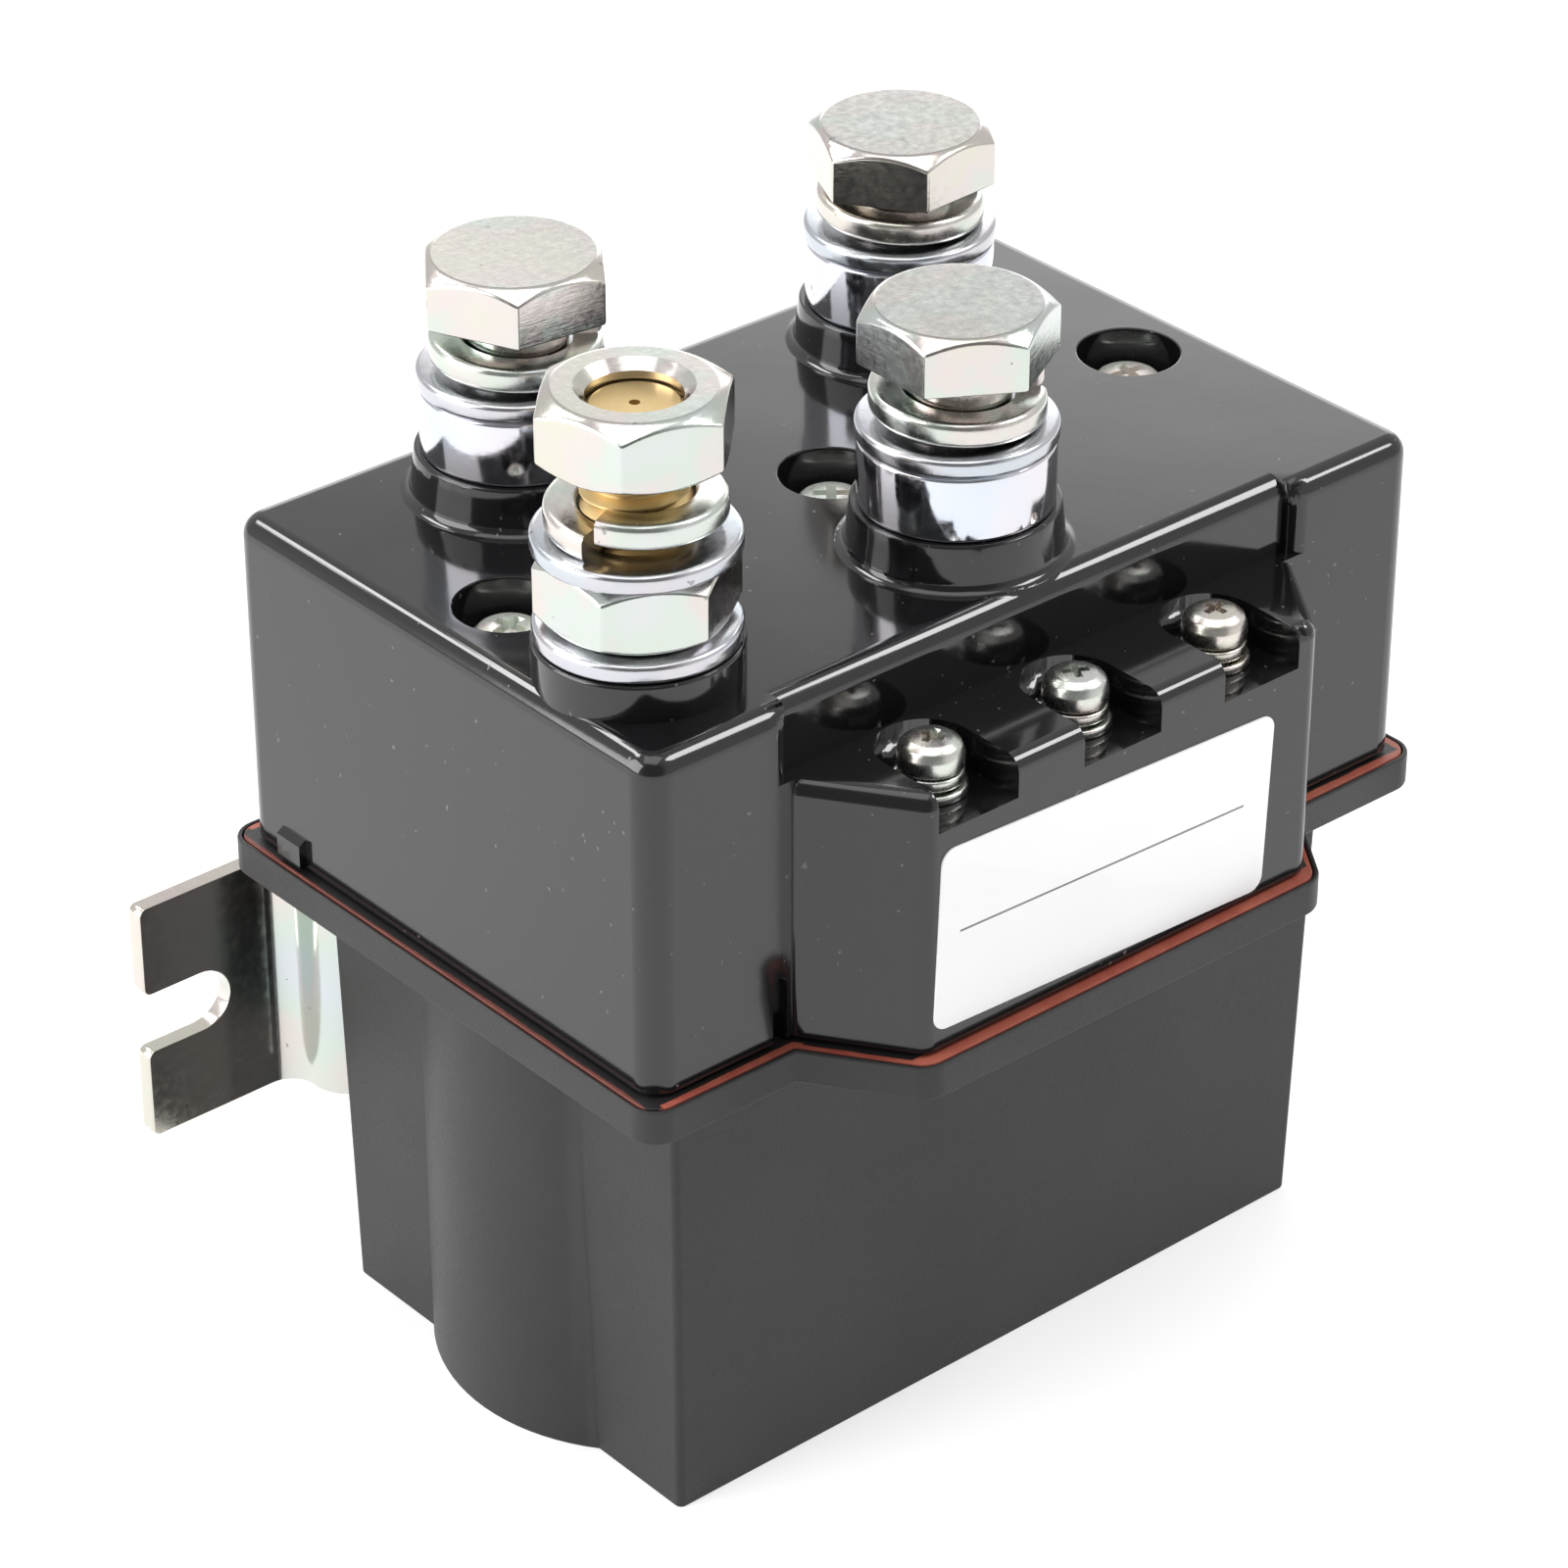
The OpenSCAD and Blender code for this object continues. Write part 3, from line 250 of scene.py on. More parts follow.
def makeSatinMould(look):
    graph = Graph("satinMould")
    cloud = graph.spread(graph.noise(*look["cloud"]), *look["cloudSpan"], 0, 1)
    tint = graph.blend(cloud, look["tint"], look["pale"])
    grain = graph.noise(*look["grain"])
    smoothest = look["rough"] - look["smoother"]
    roughest = look["rough"] + look["rougher"]
    rough = graph.spread(grain, *look["grainSpan"], smoothest, roughest)
    normal = graph.bump(grain, *look["grainBump"])
    return graph.look(Base_Color=tint, Roughness=rough, Normal=normal, IOR=look["ior"])


rubberSeal = {
    "tint": (0.27, 0.05, 0.033, 1),
    "pale": (0.38, 0.11, 0.07, 1),
    # painted shade that lies along the cover's foot
    "footShade": (0.012, 0.011, 0.011, 1),
    "rough": 0.42,
    "cloud": (300, 4, 0.6),
    "cloudSpan": (0.3, 0.7),
    "grain": (2500, 2, 0.6),
    "grainBump": (0.25, 0.0001),
    "body": (0.0377, 0.02425),  # half of the cover's length and depth, in metres
    "block": {"root": 0.0248, "front": 0.0191, "out": 0.0082},
    "clear": 0.00022,  # how far from the cover's foot the red begins, and so on each side
    "leftClear": 0.00051,
    "slantClear": 0.0004,
    "rightClear": 0.0001,
    "frontClear": -0.001,
    "leftFrom": -0.0373,  # where each side begins
    "slantFrom": -0.0009,
    "frontFrom": 0.0006,
    "ragged": (350, 3, 0.6),
    "raggedDepth": 0.0003,
    "leftRagged": (60, 2, 0.5),
    "leftRaggedDepth": 0.0006,
    # how far the red on the left side is darkened with painted shade
    "leftShade": 0.55,
}


def makeRubberSeal(look):
    # Red where it stands clear of the cover's foot, with painted shade along the foot itself and partly
    # over the red on the left side
    graph = Graph("rubberSeal")
    x = graph.along(0)
    y = graph.along(1)
    halfLength, halfDepth = look["body"]
    body = (abs(x) - halfLength).larger(abs(y) - halfDepth)
    block = look["block"]
    run = block["root"] - block["front"]
    slope = sqrt(run ** 2 + block["out"] ** 2)
    side = (abs(x) - block["root"]) * (block["out"] / slope)
    side = side - (y + halfDepth) * (run / slope)
    ahead = 0 - y - (halfDepth + block["out"])
    apart = body.smaller(side.larger(ahead.larger(y + halfDepth)))
    left = x.below(look["leftFrom"])
    front = y.below(look["frontFrom"] - halfDepth - block["out"])
    slant = y.below(look["slantFrom"] - halfDepth) - front
    right = x.above(block["root"]) * (1 - front)
    limit = look["clear"]
    zones = {"leftClear": left, "slantClear": slant, "rightClear": right, "frontClear": front}
    for name, zone in zones.items():
        limit = zone * (look[name] - look["clear"]) + limit
    ragged = (graph.noise(*look["ragged"]) - 0.5) * look["raggedDepth"]
    ragged = ragged + left * (graph.noise(*look["leftRagged"]) - 0.5) * look["leftRaggedDepth"]
    clear = (apart + ragged).above(limit)
    cloud = graph.spread(graph.noise(*look["cloud"]), *look["cloudSpan"], 0, 1)
    tint = graph.blend(cloud, look["tint"], look["pale"])
    # painted shade along the cover's foot, and partly over the red on the left side
    tint = graph.blend(clear * (1 - left * look["leftShade"]), look["footShade"], tint)
    normal = graph.bump(graph.noise(*look["grain"]), *look["grainBump"])
    return graph.look(Base_Color=tint, Roughness=look["rough"], Normal=normal)


plainSurface = {
    "cloud": (120, 4, 0.6),
    "cloudSpan": (0.3, 0.7),
    "grain": (2200, 2, 0.6),
    "grainBump": (0.12, 0.0001),
}
plainPlastics = {
    "brown_phenolic": {
        "name": "phenolic", "rough": 0.45,
        "tint": (0.09, 0.04, 0.02, 1), "pale": (0.14, 0.07, 0.035, 1)},
    "white_nylon": {
        "name": "nylon", "rough": 0.4,
        "tint": (0.68, 0.65, 0.56, 1), "pale": (0.78, 0.75, 0.68, 1)},
    "copper_wire": {
        "name": "enamelledWire", "rough": 0.25,
        "tint": (0.36, 0.10, 0.03, 1), "pale": (0.52, 0.18, 0.06, 1)},
}


def makePlainPlastic(look, surface):
    graph = Graph(look["name"])
    cloud = graph.spread(graph.noise(*surface["cloud"]), *surface["cloudSpan"], 0, 1)
    tint = graph.blend(cloud, look["tint"], look["pale"])
    normal = graph.bump(graph.noise(*surface["grain"]), *surface["grainBump"])
    return graph.look(Base_Color=tint, Roughness=look["rough"], Normal=normal)


labelFilm = {
    "face": (0.88, 0.88, 0.885, 1),
    "pale": (0.80, 0.80, 0.82, 1),
    "paleShare": 0.25,
    "ink": (0.16, 0.16, 0.17, 1),
    "rough": 0.32,
    "cloud": (90, 3, 0.5),
    "cloudSpan": (0.3, 0.7),
    "grain": (800, 2, 0.5),
    "grainBump": (0.05, 0.0001),
    "lineMiddle": (-0.00207, 0.05095),
    "lineSlope": 0.031,
    "lineHalf": 0.01415,
    "lineWidth": 0.00018,
}


def makeLabelFilm(look):
    graph = Graph("labelFilm")
    cloud = graph.spread(graph.noise(*look["cloud"]), *look["cloudSpan"], 0, look["paleShare"])
    face = graph.blend(cloud, look["face"], look["pale"])
    along = graph.along(0) - look["lineMiddle"][0]
    height = graph.along(2) - look["lineMiddle"][1]
    offLine = abs(height + along * look["lineSlope"])
    line = offLine.below(look["lineWidth"] / 2) * abs(along).below(look["lineHalf"])
    face = graph.blend(line, face, look["ink"])
    normal = graph.bump(graph.noise(*look["grain"]), *look["grainBump"])
    return graph.look(Base_Color=face, Roughness=look["rough"], Normal=normal)


# Metals: each ramp of tones follows a slow cloud over the surface

rainbow = [
    (0.0, (0.63, 0.64, 0.62, 1)),
    (0.36, (0.66, 0.62, 0.50, 1)),
    (0.46, (0.70, 0.56, 0.55, 1)),
    (0.54, (0.50, 0.64, 0.56, 1)),
    (0.64, (0.54, 0.60, 0.70, 1)),
    (1.0, (0.66, 0.65, 0.62, 1)),
]
coolFilm = [
    (0.0, (0.62, 0.66, 0.68, 1)),
    (0.45, (0.58, 0.63, 0.72, 1)),
    (0.6, (0.68, 0.61, 0.67, 1)),
    (1.0, (0.66, 0.68, 0.68, 1)),
]
warmFilm = [
    (0.0, (0.62, 0.62, 0.57, 1)),
    (0.38, (0.66, 0.62, 0.52, 1)),
    (0.47, (0.68, 0.58, 0.58, 1)),
    (0.55, (0.56, 0.65, 0.58, 1)),
    (0.64, (0.60, 0.64, 0.66, 1)),
    (1.0, (0.66, 0.66, 0.61, 1)),
]
brassTone = [
    (0.0, (0.50, 0.33, 0.12, 1)),
    (0.5, (0.62, 0.46, 0.21, 1)),
    (1.0, (0.70, 0.55, 0.30, 1)),
]
copperTone = [
    (0.0, (0.58, 0.26, 0.14, 1)),
    (0.5, (0.76, 0.38, 0.24, 1)),
    (1.0, (0.84, 0.48, 0.32, 1)),
]
ironTone = [
    (0.0, (0.40, 0.41, 0.42, 1)),
    (0.5, (0.52, 0.53, 0.54, 1)),
    (1.0, (0.62, 0.62, 0.61, 1)),
]

metalSurface = {
    "drift": (3, 0.5),
    "fine": (1400, 4, 0.7),
    "fineSpan": (0.35, 0.7),
    "smoother": 0.04,
    "rougher": 0.07,
    "line": (500, 3, 0.6),
    "lineStretch": (1, 1, 9),
    "pit": (700, 2, 0.5),
    "pitLimit": 0.74,
    "pitShare": 0.5,
    "pitTint": (0.12, 0.12, 0.11, 1),
    "upward": 0.97,
    # The next four: painted shade on faces that look up, its share at each end of the X span, its
    # patchiness, its colour and the roughness it adds
    "topShade": (0.35, 0.72),
    "topShadePatch": (0.3, 0.7, 0.8, 1.1),
    "topShadeTint": (0.19, 0.19, 0.18, 1),
    "topShadeRough": 0.12,
    "depth": 0.0001,
}
metals = {
    "zinc_strip": {
        "name": "zincStrip", "tint": (0.60, 0.60, 0.56, 1), "rough": 0.14,
        "tones": rainbow, "drift": 45, "scratch": 0.05},
    "zinc_screw": {
        "name": "zincScrew", "tint": (0.70, 0.70, 0.62, 1), "rough": 0.3,
        "tones": warmFilm, "drift": 160, "scratch": 0.3, "metal": 0.6},
    "zinc_hex": {
        "name": "zincHex", "tint": (0.50, 0.505, 0.47, 1), "rough": 0.17,
        # the last pair is the span of X, in metres, over which the painted shade on the tops grows
        "tones": warmFilm, "drift": 110, "scratch": 0.16, "share": 0.55, "topShadeSpan": (-0.025, -0.005)},
    "zinc_washer": {
        "name": "zincWasher", "tint": (0.44, 0.46, 0.47, 1), "rough": 0.2,
        "tones": coolFilm, "drift": 110, "scratch": 0.12, "share": 0.4},
    "spring_washer": {
        "name": "springWasher", "tint": (0.54, 0.54, 0.50, 1), "rough": 0.22,
        "tones": warmFilm, "drift": 110, "scratch": 0.14},
    "nickel_post": {
        "name": "brightPost", "tint": (0.60, 0.62, 0.64, 1), "rough": 0.09,
        "tones": coolFilm, "drift": 90, "scratch": 0.04},
    "coil_screw": {
        "name": "coilScrew", "tint": (0.62, 0.60, 0.55, 1), "rough": 0.26,
        "tones": warmFilm, "drift": 260, "scratch": 0.12},
    "brass": {
        "name": "brass", "tint": (0.66, 0.50, 0.26, 1), "rough": 0.42,
        "tones": brassTone, "drift": 260, "scratch": 0.2},
    "copper": {
        "name": "copperBar", "tint": (0.74, 0.38, 0.24, 1), "rough": 0.3,
        "tones": copperTone, "drift": 90, "scratch": 0.1},
    "silver_contact": {
        "name": "silverContact", "tint": (0.84, 0.84, 0.83, 1), "rough": 0.2,
        "tones": coolFilm, "drift": 200, "scratch": 0.05},
    "soft_iron": {
        "name": "softIron", "tint": (0.5, 0.51, 0.52, 1), "rough": 0.34,
        "tones": ironTone, "drift": 90, "scratch": 0.12},
    "steel_rod": {
        "name": "springSteel", "tint": (0.6, 0.61, 0.62, 1), "rough": 0.22,
        "tones": ironTone, "drift": 200, "scratch": 0.08},
}


def makeMetal(look, surface):
    # A drifting film of tints, a few pits, a fine smear in the gloss and faint drawn lines, and where
    # asked painted shade on faces that look up
    graph = Graph(look["name"])
    cloud = graph.noise(look["drift"], *surface["drift"])
    film = graph.add("ShaderNodeValToRGB", {"stops": look["tones"]}, {0: cloud})
    tint = graph.blend(look.get("share", 0.5), look["tint"], film)
    pit = graph.noise(*surface["pit"]).above(surface["pitLimit"])
    tint = graph.blend(pit * surface["pitShare"], tint, surface["pitTint"])
    fine = graph.noise(*surface["fine"])
    smoothest = look["rough"] - surface["smoother"]
    roughest = look["rough"] + surface["rougher"]
    smear = graph.spread(fine, *surface["fineSpan"], smoothest, roughest)
    if "topShadeSpan" in look:
        # Faces that look up turn grey over this span of X: painted shade on the tops, which are made a
        # little rougher there too
        up = graph.along(2, "Normal").above(surface["upward"])
        reach = graph.spread(graph.along(0), *look["topShadeSpan"], *surface["topShade"])
        topShade = up * reach * graph.spread(fine, *surface["topShadePatch"])
        tint = graph.blend(topShade, tint, surface["topShadeTint"])
        smear = smear + topShade * surface["topShadeRough"]
    line = graph.noise(*surface["line"], graph.stretched(surface["lineStretch"]))
    normal = graph.bump(fine * 0.5 + line * 0.5, look["scratch"], surface["depth"])
    return graph.look(Base_Color=tint, Metallic=look.get("metal", 1.0), Roughness=smear, Normal=normal)


finishes = {
    "gloss_black": makeGlossMould(glossMould),
    "matte_black": makeSatinMould(satinMould),
    "red_rubber": makeRubberSeal(rubberSeal),
    "blank_label": makeLabelFilm(labelFilm),
}
for slotName, look in plainPlastics.items():
    finishes[slotName] = makePlainPlastic(look, plainSurface)
for slotName, look in metals.items():
    finishes[slotName] = makeMetal(look, metalSurface)
print("finishes made:", len(finishes))

for entry in frame["record"]["subparts"]:
    mesh = nodes[entry["node"]].data
    mesh.materials.clear()
    mesh.materials.append(finishes[entry["material_slot"]])
print("finishes laid on the loaded nodes")


# Mesh helpers

def turnBy(plan, angle, axis="Z"):
    turn = Matrix.Rotation(radians(angle), 3, axis)
    bmesh.ops.rotate(plan, verts=plan.verts, cent=(0, 0, 0), matrix=turn)


def shift(plan, x=0, y=0, z=0, turn=0):
    turnBy(plan, turn)
    bmesh.ops.translate(plan, verts=plan.verts, vec=(x * mm, y * mm, z * mm))
    return plan


def roundOff(plan, geom, width, segments, affect="EDGES", clamp=True):
    bmesh.ops.bevel(plan, geom=geom, offset=width * mm, offset_type="OFFSET", segments=segments,
                    profile=0.5, affect=affect, clamp_overlap=clamp, material=-1)


def softSection(corners):
    # A closed outline in the XZ plane; each corner is radius, height and softness
    plan = bmesh.new()
    face = plan.faces.new([plan.verts.new((r * mm, 0, z * mm)) for r, z, soft in corners])
    for corner, (r, z, soft) in zip(list(face.verts), corners):
        if soft:
            roundOff(plan, [corner], soft, 4, "VERTICES")
    bmesh.ops.delete(plan, geom=plan.faces[:], context="FACES_ONLY")
    return plan


def turned(corners, steps=72):
    # The outline turned once round Z, as a ring or as a solid that reaches the axis
    plan = softSection(corners)
    core = [e for e in plan.edges if all(abs(v.co.x) < 0.1 * weld for v in e.verts)]
    bmesh.ops.delete(plan, geom=core, context="EDGES_FACES")
    bmesh.ops.spin(plan, geom=plan.verts[:] + plan.edges[:], cent=(0, 0, 0), axis=(0, 0, 1),
                   angle=2 * pi, steps=steps, use_merge=True)
    bmesh.ops.remove_doubles(plan, verts=plan.verts, dist=weld)
    bmesh.ops.recalc_face_normals(plan, faces=plan.faces)
    return plan


def closeRims(plan, edges):
    rims = [e for e in edges if e.is_boundary]
    if rims:
        bmesh.ops.holes_fill(plan, edges=rims, sides=0)


def helixOf(corners, start, arc, rise, steps):
    # The outline swept round Z from the angle start, climbing as it goes
    plan = softSection(corners)
    turnBy(plan, start)
    bmesh.ops.spin(plan, geom=plan.verts[:] + plan.edges[:], cent=(0, 0, 0), axis=(0, 0, 1),
                   dvec=(0, 0, rise / steps * mm), angle=radians(arc), steps=steps)
    closeRims(plan, plan.edges)
    bmesh.ops.recalc_face_normals(plan, faces=plan.faces)
    return plan


def cutAway(plan, point, normal):
    # Takes off what lies beyond a plane and closes the cut
    cut = bmesh.ops.bisect_plane(plan, geom=plan.verts[:] + plan.edges[:] + plan.faces[:],
                                 dist=0.01 * weld, plane_co=point, plane_no=normal, clear_outer=True)
    closeRims(plan, [e for e in cut["geom_cut"] if isinstance(e, bmesh.types.BMEdge)])


def coneCut(plan, rim, height, slope, up=1, count=60):
    # Turns the end down to a shallow cone, one flat at a time
    for k in range(count):
        angle = 2 * pi * (k + 0.5) / count
        out = Vector((cos(angle), sin(angle), 0))
        normal = out * sin(radians(slope)) + Vector((0, 0, up * cos(radians(slope))))
        cutAway(plan, out * rim * mm + Vector((0, 0, height * mm)), normal)


def soften(plan, width, sharp=25, clamp=True, where=None):
    # Rounds the sharp outer edges, or only those whose ends both lie where it says
    edges = [e for e in plan.edges if e.is_manifold and e.calc_face_angle_signed(0) > radians(sharp)
             and (where is None or all(where(v.co) for v in e.verts))]
    roundOff(plan, edges, width, 2, clamp=clamp)


def gather(plans):
    # Several finished forms in one mesh
    whole = bmesh.new()
    for plan in plans:
        part = bpy.data.meshes.new("formPart")
        plan.to_mesh(part)
        plan.free()
        whole.from_mesh(part)
        bpy.data.meshes.remove(part)
    return whole


def carve(plan, tool):
    # The first form with the second cut out of it
    made = []
    for name, form in (("carveBody", plan), ("carveTool", tool)):
        mesh = bpy.data.meshes.new(name)
        form.to_mesh(mesh)
        form.free()
        made.append(bpy.data.objects.new(name, mesh))
        bpy.context.scene.collection.objects.link(made[-1])
    cut = made[0].modifiers.new("carve", "BOOLEAN")
    cut.operation = "DIFFERENCE"
    cut.solver = "EXACT"
    cut.object = made[1]
    seen = made[0].evaluated_get(bpy.context.evaluated_depsgraph_get())
    result = bpy.data.meshes.new_from_object(seen)
    whole = bmesh.new()
    whole.from_mesh(result)
    bmesh.ops.dissolve_degenerate(whole, dist=2 * weld, edges=whole.edges)
    bpy.data.meshes.remove(result)
    for item in made:
        mesh = item.data
        bpy.data.objects.remove(item)
        bpy.data.meshes.remove(mesh)
    return whole


def settle(name, plan, slotName, replaced, body="frame", sharp=35, even=False):
    # Turns a finished bmesh into a piece that rides on a body in place of a CAD node
    mesh = bpy.data.meshes.new(name)
    plan.to_mesh(mesh)
    plan.free()
    mesh.shade_smooth()
    mesh.set_sharp_from_angle(angle=radians(sharp))
    mesh.materials.append(finishes[slotName])
    piece = bpy.data.objects.new(name, mesh)
    bpy.context.scene.collection.objects.link(piece)
    if even:
        steady = piece.modifiers.new("evenShading", "WEIGHTED_NORMAL")
        steady.keep_sharp = True
        steady.weight = 80
    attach(piece, body)
    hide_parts(replaced)
    return piece


# Moulded and pressed parts: the CAD solid with its sharp edges softened. The cover's rings are
# extra edge loops, its sleeve is the stud's boss, and the strap's tips are its four outer corners

coverRims = {"bosses": 72.2, "top": 69.4, "topSlack": 0.02, "wells": (-30.7, 0, 30.7), "reach": 4.15}


def onCoverRim(spot, look=coverRims):
    # The tops of the bosses and the mouths of the screw wells
    x, y, z = spot / mm
    nearWell = any((x - w) ** 2 + y ** 2 < look["reach"] ** 2 for w in look["wells"])
    return z > look["bosses"] or nearWell and abs(z - look["top"]) < look["topSlack"]


shells = {
    "coverShell": {
        "node": "cover", "slot": "gloss_black", "soft": 0.2, "where": onCoverRim,
        "rings": [(-26.6, "x"), (26.6, "x"), (-35.2, "x"), (35.2, "x"), (-21.7, "y"), (67.4, "z")],
        "flat": 0.9995,
        "sleeve": [(5, 68, 0), (7.63, 68, 0), (7.63, 72.29, 0.25), (5, 72.29, 0)],
        "sleevePlace": (-29.5, -13.25)},
    "housingShell": {"node": "housing", "slot": "matte_black", "soft": 0.18},
    "sealStrip": {"node": "gasket", "slot": "red_rubber", "soft": 0.12},
    "mountingStrap": {
        "node": "mounting_strap", "slot": "zinc_strip", "soft": 0.16,
        "tips": 45.45, "tipRound": 0.7},
}


def makeShell(name, look):
    plan = bmesh.new()
    plan.from_mesh(nodes[look["node"]].data)
    bmesh.ops.remove_doubles(plan, verts=plan.verts, dist=weld)
    bmesh.ops.dissolve_limit(plan, angle_limit=radians(0.1), verts=plan.verts, edges=plan.edges)
    for place, axis in look.get("rings", []):
        # They keep the rounded edges' shading even beside the corners, and spare the flat faces
        spot = Vector([place * mm * (axis == side) for side in "xyz"])
        curved = [f for f in plan.faces if max(abs(n) for n in f.normal) < look["flat"]]
        parts = set(curved).union(*[f.edges[:] + f.verts[:] for f in curved])
        bmesh.ops.bisect_plane(plan, geom=list(parts), dist=0.1 * weld, plane_co=spot, plane_no=spot)
    if "tips" in look:
        tips = [e for e in plan.edges if all(abs(v.co.x) > look["tips"] * mm for v in e.verts)
                and abs(e.verts[0].co.z - e.verts[1].co.z) < weld and e.calc_face_angle(0) > 1]
        roundOff(plan, tips, look["tipRound"], 5)
    soften(plan, look["soft"], sharp=40, clamp=False, where=look.get("where"))
    if "sleeve" in look:
        plan = gather([plan, shift(turned(look["sleeve"], 120), *look["sleevePlace"])])
    settle(name, plan, look["slot"], look["node"], sharp=31, even=True)


for name, look in shells.items():
    makeShell(name, look)
print("shells softened:", len(shells))


# Hexagon bolts in the three posts

bolts = {
    "across": 13.0,
    "rim": 6.15,
    "slope": 35,
    "head": 4.4,
    "length": 20.0,
    "shank": 3.95,
    "tip": 0.5,
    "overlap": 0.2,
    "soft": 0.2,
    "places": [
        {"centre": (0, -13.75), "under": 84.4, "turn": 29},
        {"centre": (-18.85, 13.65), "under": 84.2, "turn": 54},
        {"centre": (18.85, 13.65), "under": 83.3, "turn": 4.5},
    ],
}


def hexagonBar(look, height, both):
    # Six-sided bar from z 0 up, turned down at its top and, for a nut, at its foot
    plan = bmesh.new()
    corner = look["across"] / sqrt(3) * mm
    bmesh.ops.create_cone(plan, cap_ends=True, cap_tris=False, segments=6, radius1=corner,
                          radius2=corner, depth=height * mm)
    shift(plan, z=height / 2, turn=30)
    coneCut(plan, look["rim"], height, look["slope"])
    if both:
        coneCut(plan, look["rim"], 0, look["slope"], up=-1)
    soften(plan, look["soft"], sharp=22)
    return plan


def makeBolts(look):
    low = -look["length"]
    high = look["overlap"]
    made = []
    for place in look["places"]:
        x, y = place["centre"]
        head = hexagonBar(look, look["head"], False)
        made.append(shift(head, x, y, place["under"], place["turn"]))
        shank = turned([(0, low, 0), (look["shank"], low, look["tip"]), (look["shank"], high, 0),
                        (0, high, 0)], 48)
        made.append(shift(shank, x, y, place["under"]))
    settle("terminalBolts", gather(made), "zinc_hex", "terminal_bolts", even=True)


makeBolts(bolts)
print("terminal bolts made")


# Nuts on the negative stud; the top one narrows to its throat above throatStart

nuts = {
    "across": 13.0,
    "rim": 5.9,
    "slope": 32,
    "height": 5.5,
    "bore": 4.0,
    "mouth": 4.35,
    "sink": 0.35,
    "soft": 0.2,
    "past": 1,
    "throatStart": 4.2,
    "throatSlope": 0.7,
    "centre": (-29.5, -13.25),
    "places": [
        {"name": "lowerNut", "node": "stud_lower_nut", "under": 73.8, "turn": 31, "throat": 4.0},
        {"name": "topNut", "node": "stud_top_nut", "under": 86.3, "turn": 44, "throat": 3.45},
    ],
}


def makeNuts(look):
    x, y = look["centre"]
    bore = look["bore"]
    past = look["past"]
    wide = look["mouth"] + past
    top = look["height"]
    for place in look["places"]:
        body = hexagonBar(look, top, True)
        throat = place["throat"]
        step = [(bore, look["throatStart"], 0), (throat, look["throatStart"], 0)] if throat < bore else []
        flare = top - look["sink"] - (bore - throat) * look["throatSlope"]
        tool = turned([(0, -past, 0), (wide, -past, 0), (bore, look["sink"], 0), *step,
                       (throat, flare, 0), (wide, top + past, 0), (0, top + past, 0)], 60)
        body = carve(body, tool)
        settle(place["name"], shift(body, x, y, place["under"], place["turn"]), "zinc_hex",
               place["node"], even=True)


makeNuts(nuts)
print("nuts made")


# Flat washers, large and small

flatWashers = [
    {"name": "postWashers", "node": "post_washers", "slot": "zinc_washer",
     "inner": 4.2, "outer": 7.5, "thick": 1.5, "soft": 0.42, "holeSoft": 0.12,
     "places": [(0, -13.75, 78.2), (-18.85, 13.65, 78.2), (18.85, 13.65, 78.2)]},
    {"name": "studWashers", "node": "stud_washers", "slot": "zinc_washer",
     "inner": 4.2, "outer": 7.5, "thick": 1.5, "soft": 0.42, "holeSoft": 0.12,
     "places": [(-29.5, -13.25, 72.3), (-29.5, -13.25, 79.3)]},
    {"name": "coilWashers", "node": "coil_flat_washers", "slot": "coil_screw",
     "inner": 1.65, "outer": 2.75, "thick": 0.7, "soft": 0.2, "holeSoft": 0.12,
     "places": [(-14.5, -27.35, 60.2), (-0.5, -27.35, 60.2), (13.5, -27.35, 60.2)]},
]


def makeFlatWashers(look):
    inner = look["inner"]
    outer = look["outer"]
    thick = look["thick"]
    made = []
    for place in look["places"]:
        ring = turned([(inner, 0, look["holeSoft"]), (outer, 0, look["soft"]),
                       (outer, thick, look["soft"]), (inner, thick, look["holeSoft"])])
        made.append(shift(ring, *place))
    settle(look["name"], gather(made), look["slot"], look["node"])


for look in flatWashers:
    makeFlatWashers(look)


# Split spring washers, large and small

splitWashers = [
    {"name": "postSprings", "node": "post_split_washers", "slot": "spring_washer",
     "inner": 4.15, "outer": 6.5, "thick": 2.0, "rise": 1.5, "start": -30, "gap": 9, "soft": 0.55,
     "places": [(0, -13.75, 79.7), (-18.85, 13.65, 79.7), (18.85, 13.65, 79.7)]},
    {"name": "studSpring", "node": "stud_split_washer", "slot": "spring_washer",
     "inner": 4.15, "outer": 6.5, "thick": 2.0, "rise": 1.5, "start": -160, "gap": 9, "soft": 0.55,
     "places": [(-29.5, -13.25, 80.8)]},
    {"name": "coilSprings", "node": "coil_split_washers", "slot": "coil_screw",
     "inner": 1.65, "outer": 2.45, "thick": 0.9, "rise": 0.25, "start": 200, "gap": 9, "soft": 0.22,
     "places": [(-14.5, -27.35, 60.9), (-0.5, -27.35, 60.9), (13.5, -27.35, 60.9)]},
]


def makeSplitWashers(look):
    inner = look["inner"]
    outer = look["outer"]
    thick = look["thick"]
    soft = look["soft"]
    gap = look["gap"]
    made = []
    for place in look["places"]:
        ring = helixOf([(inner, 0, soft * 0.5), (outer, 0, soft), (outer, thick, soft),
                        (inner, thick, soft * 0.5)],
                       look["start"] - gap / 2, gap - 360, look["rise"], 72)
        made.append(shift(ring, *place))
    settle(look["name"], gather(made), look["slot"], look["node"], sharp=50)


for look in splitWashers:
    makeSplitWashers(look)
print("washers made:", len(flatWashers) + len(splitWashers))


# Posts

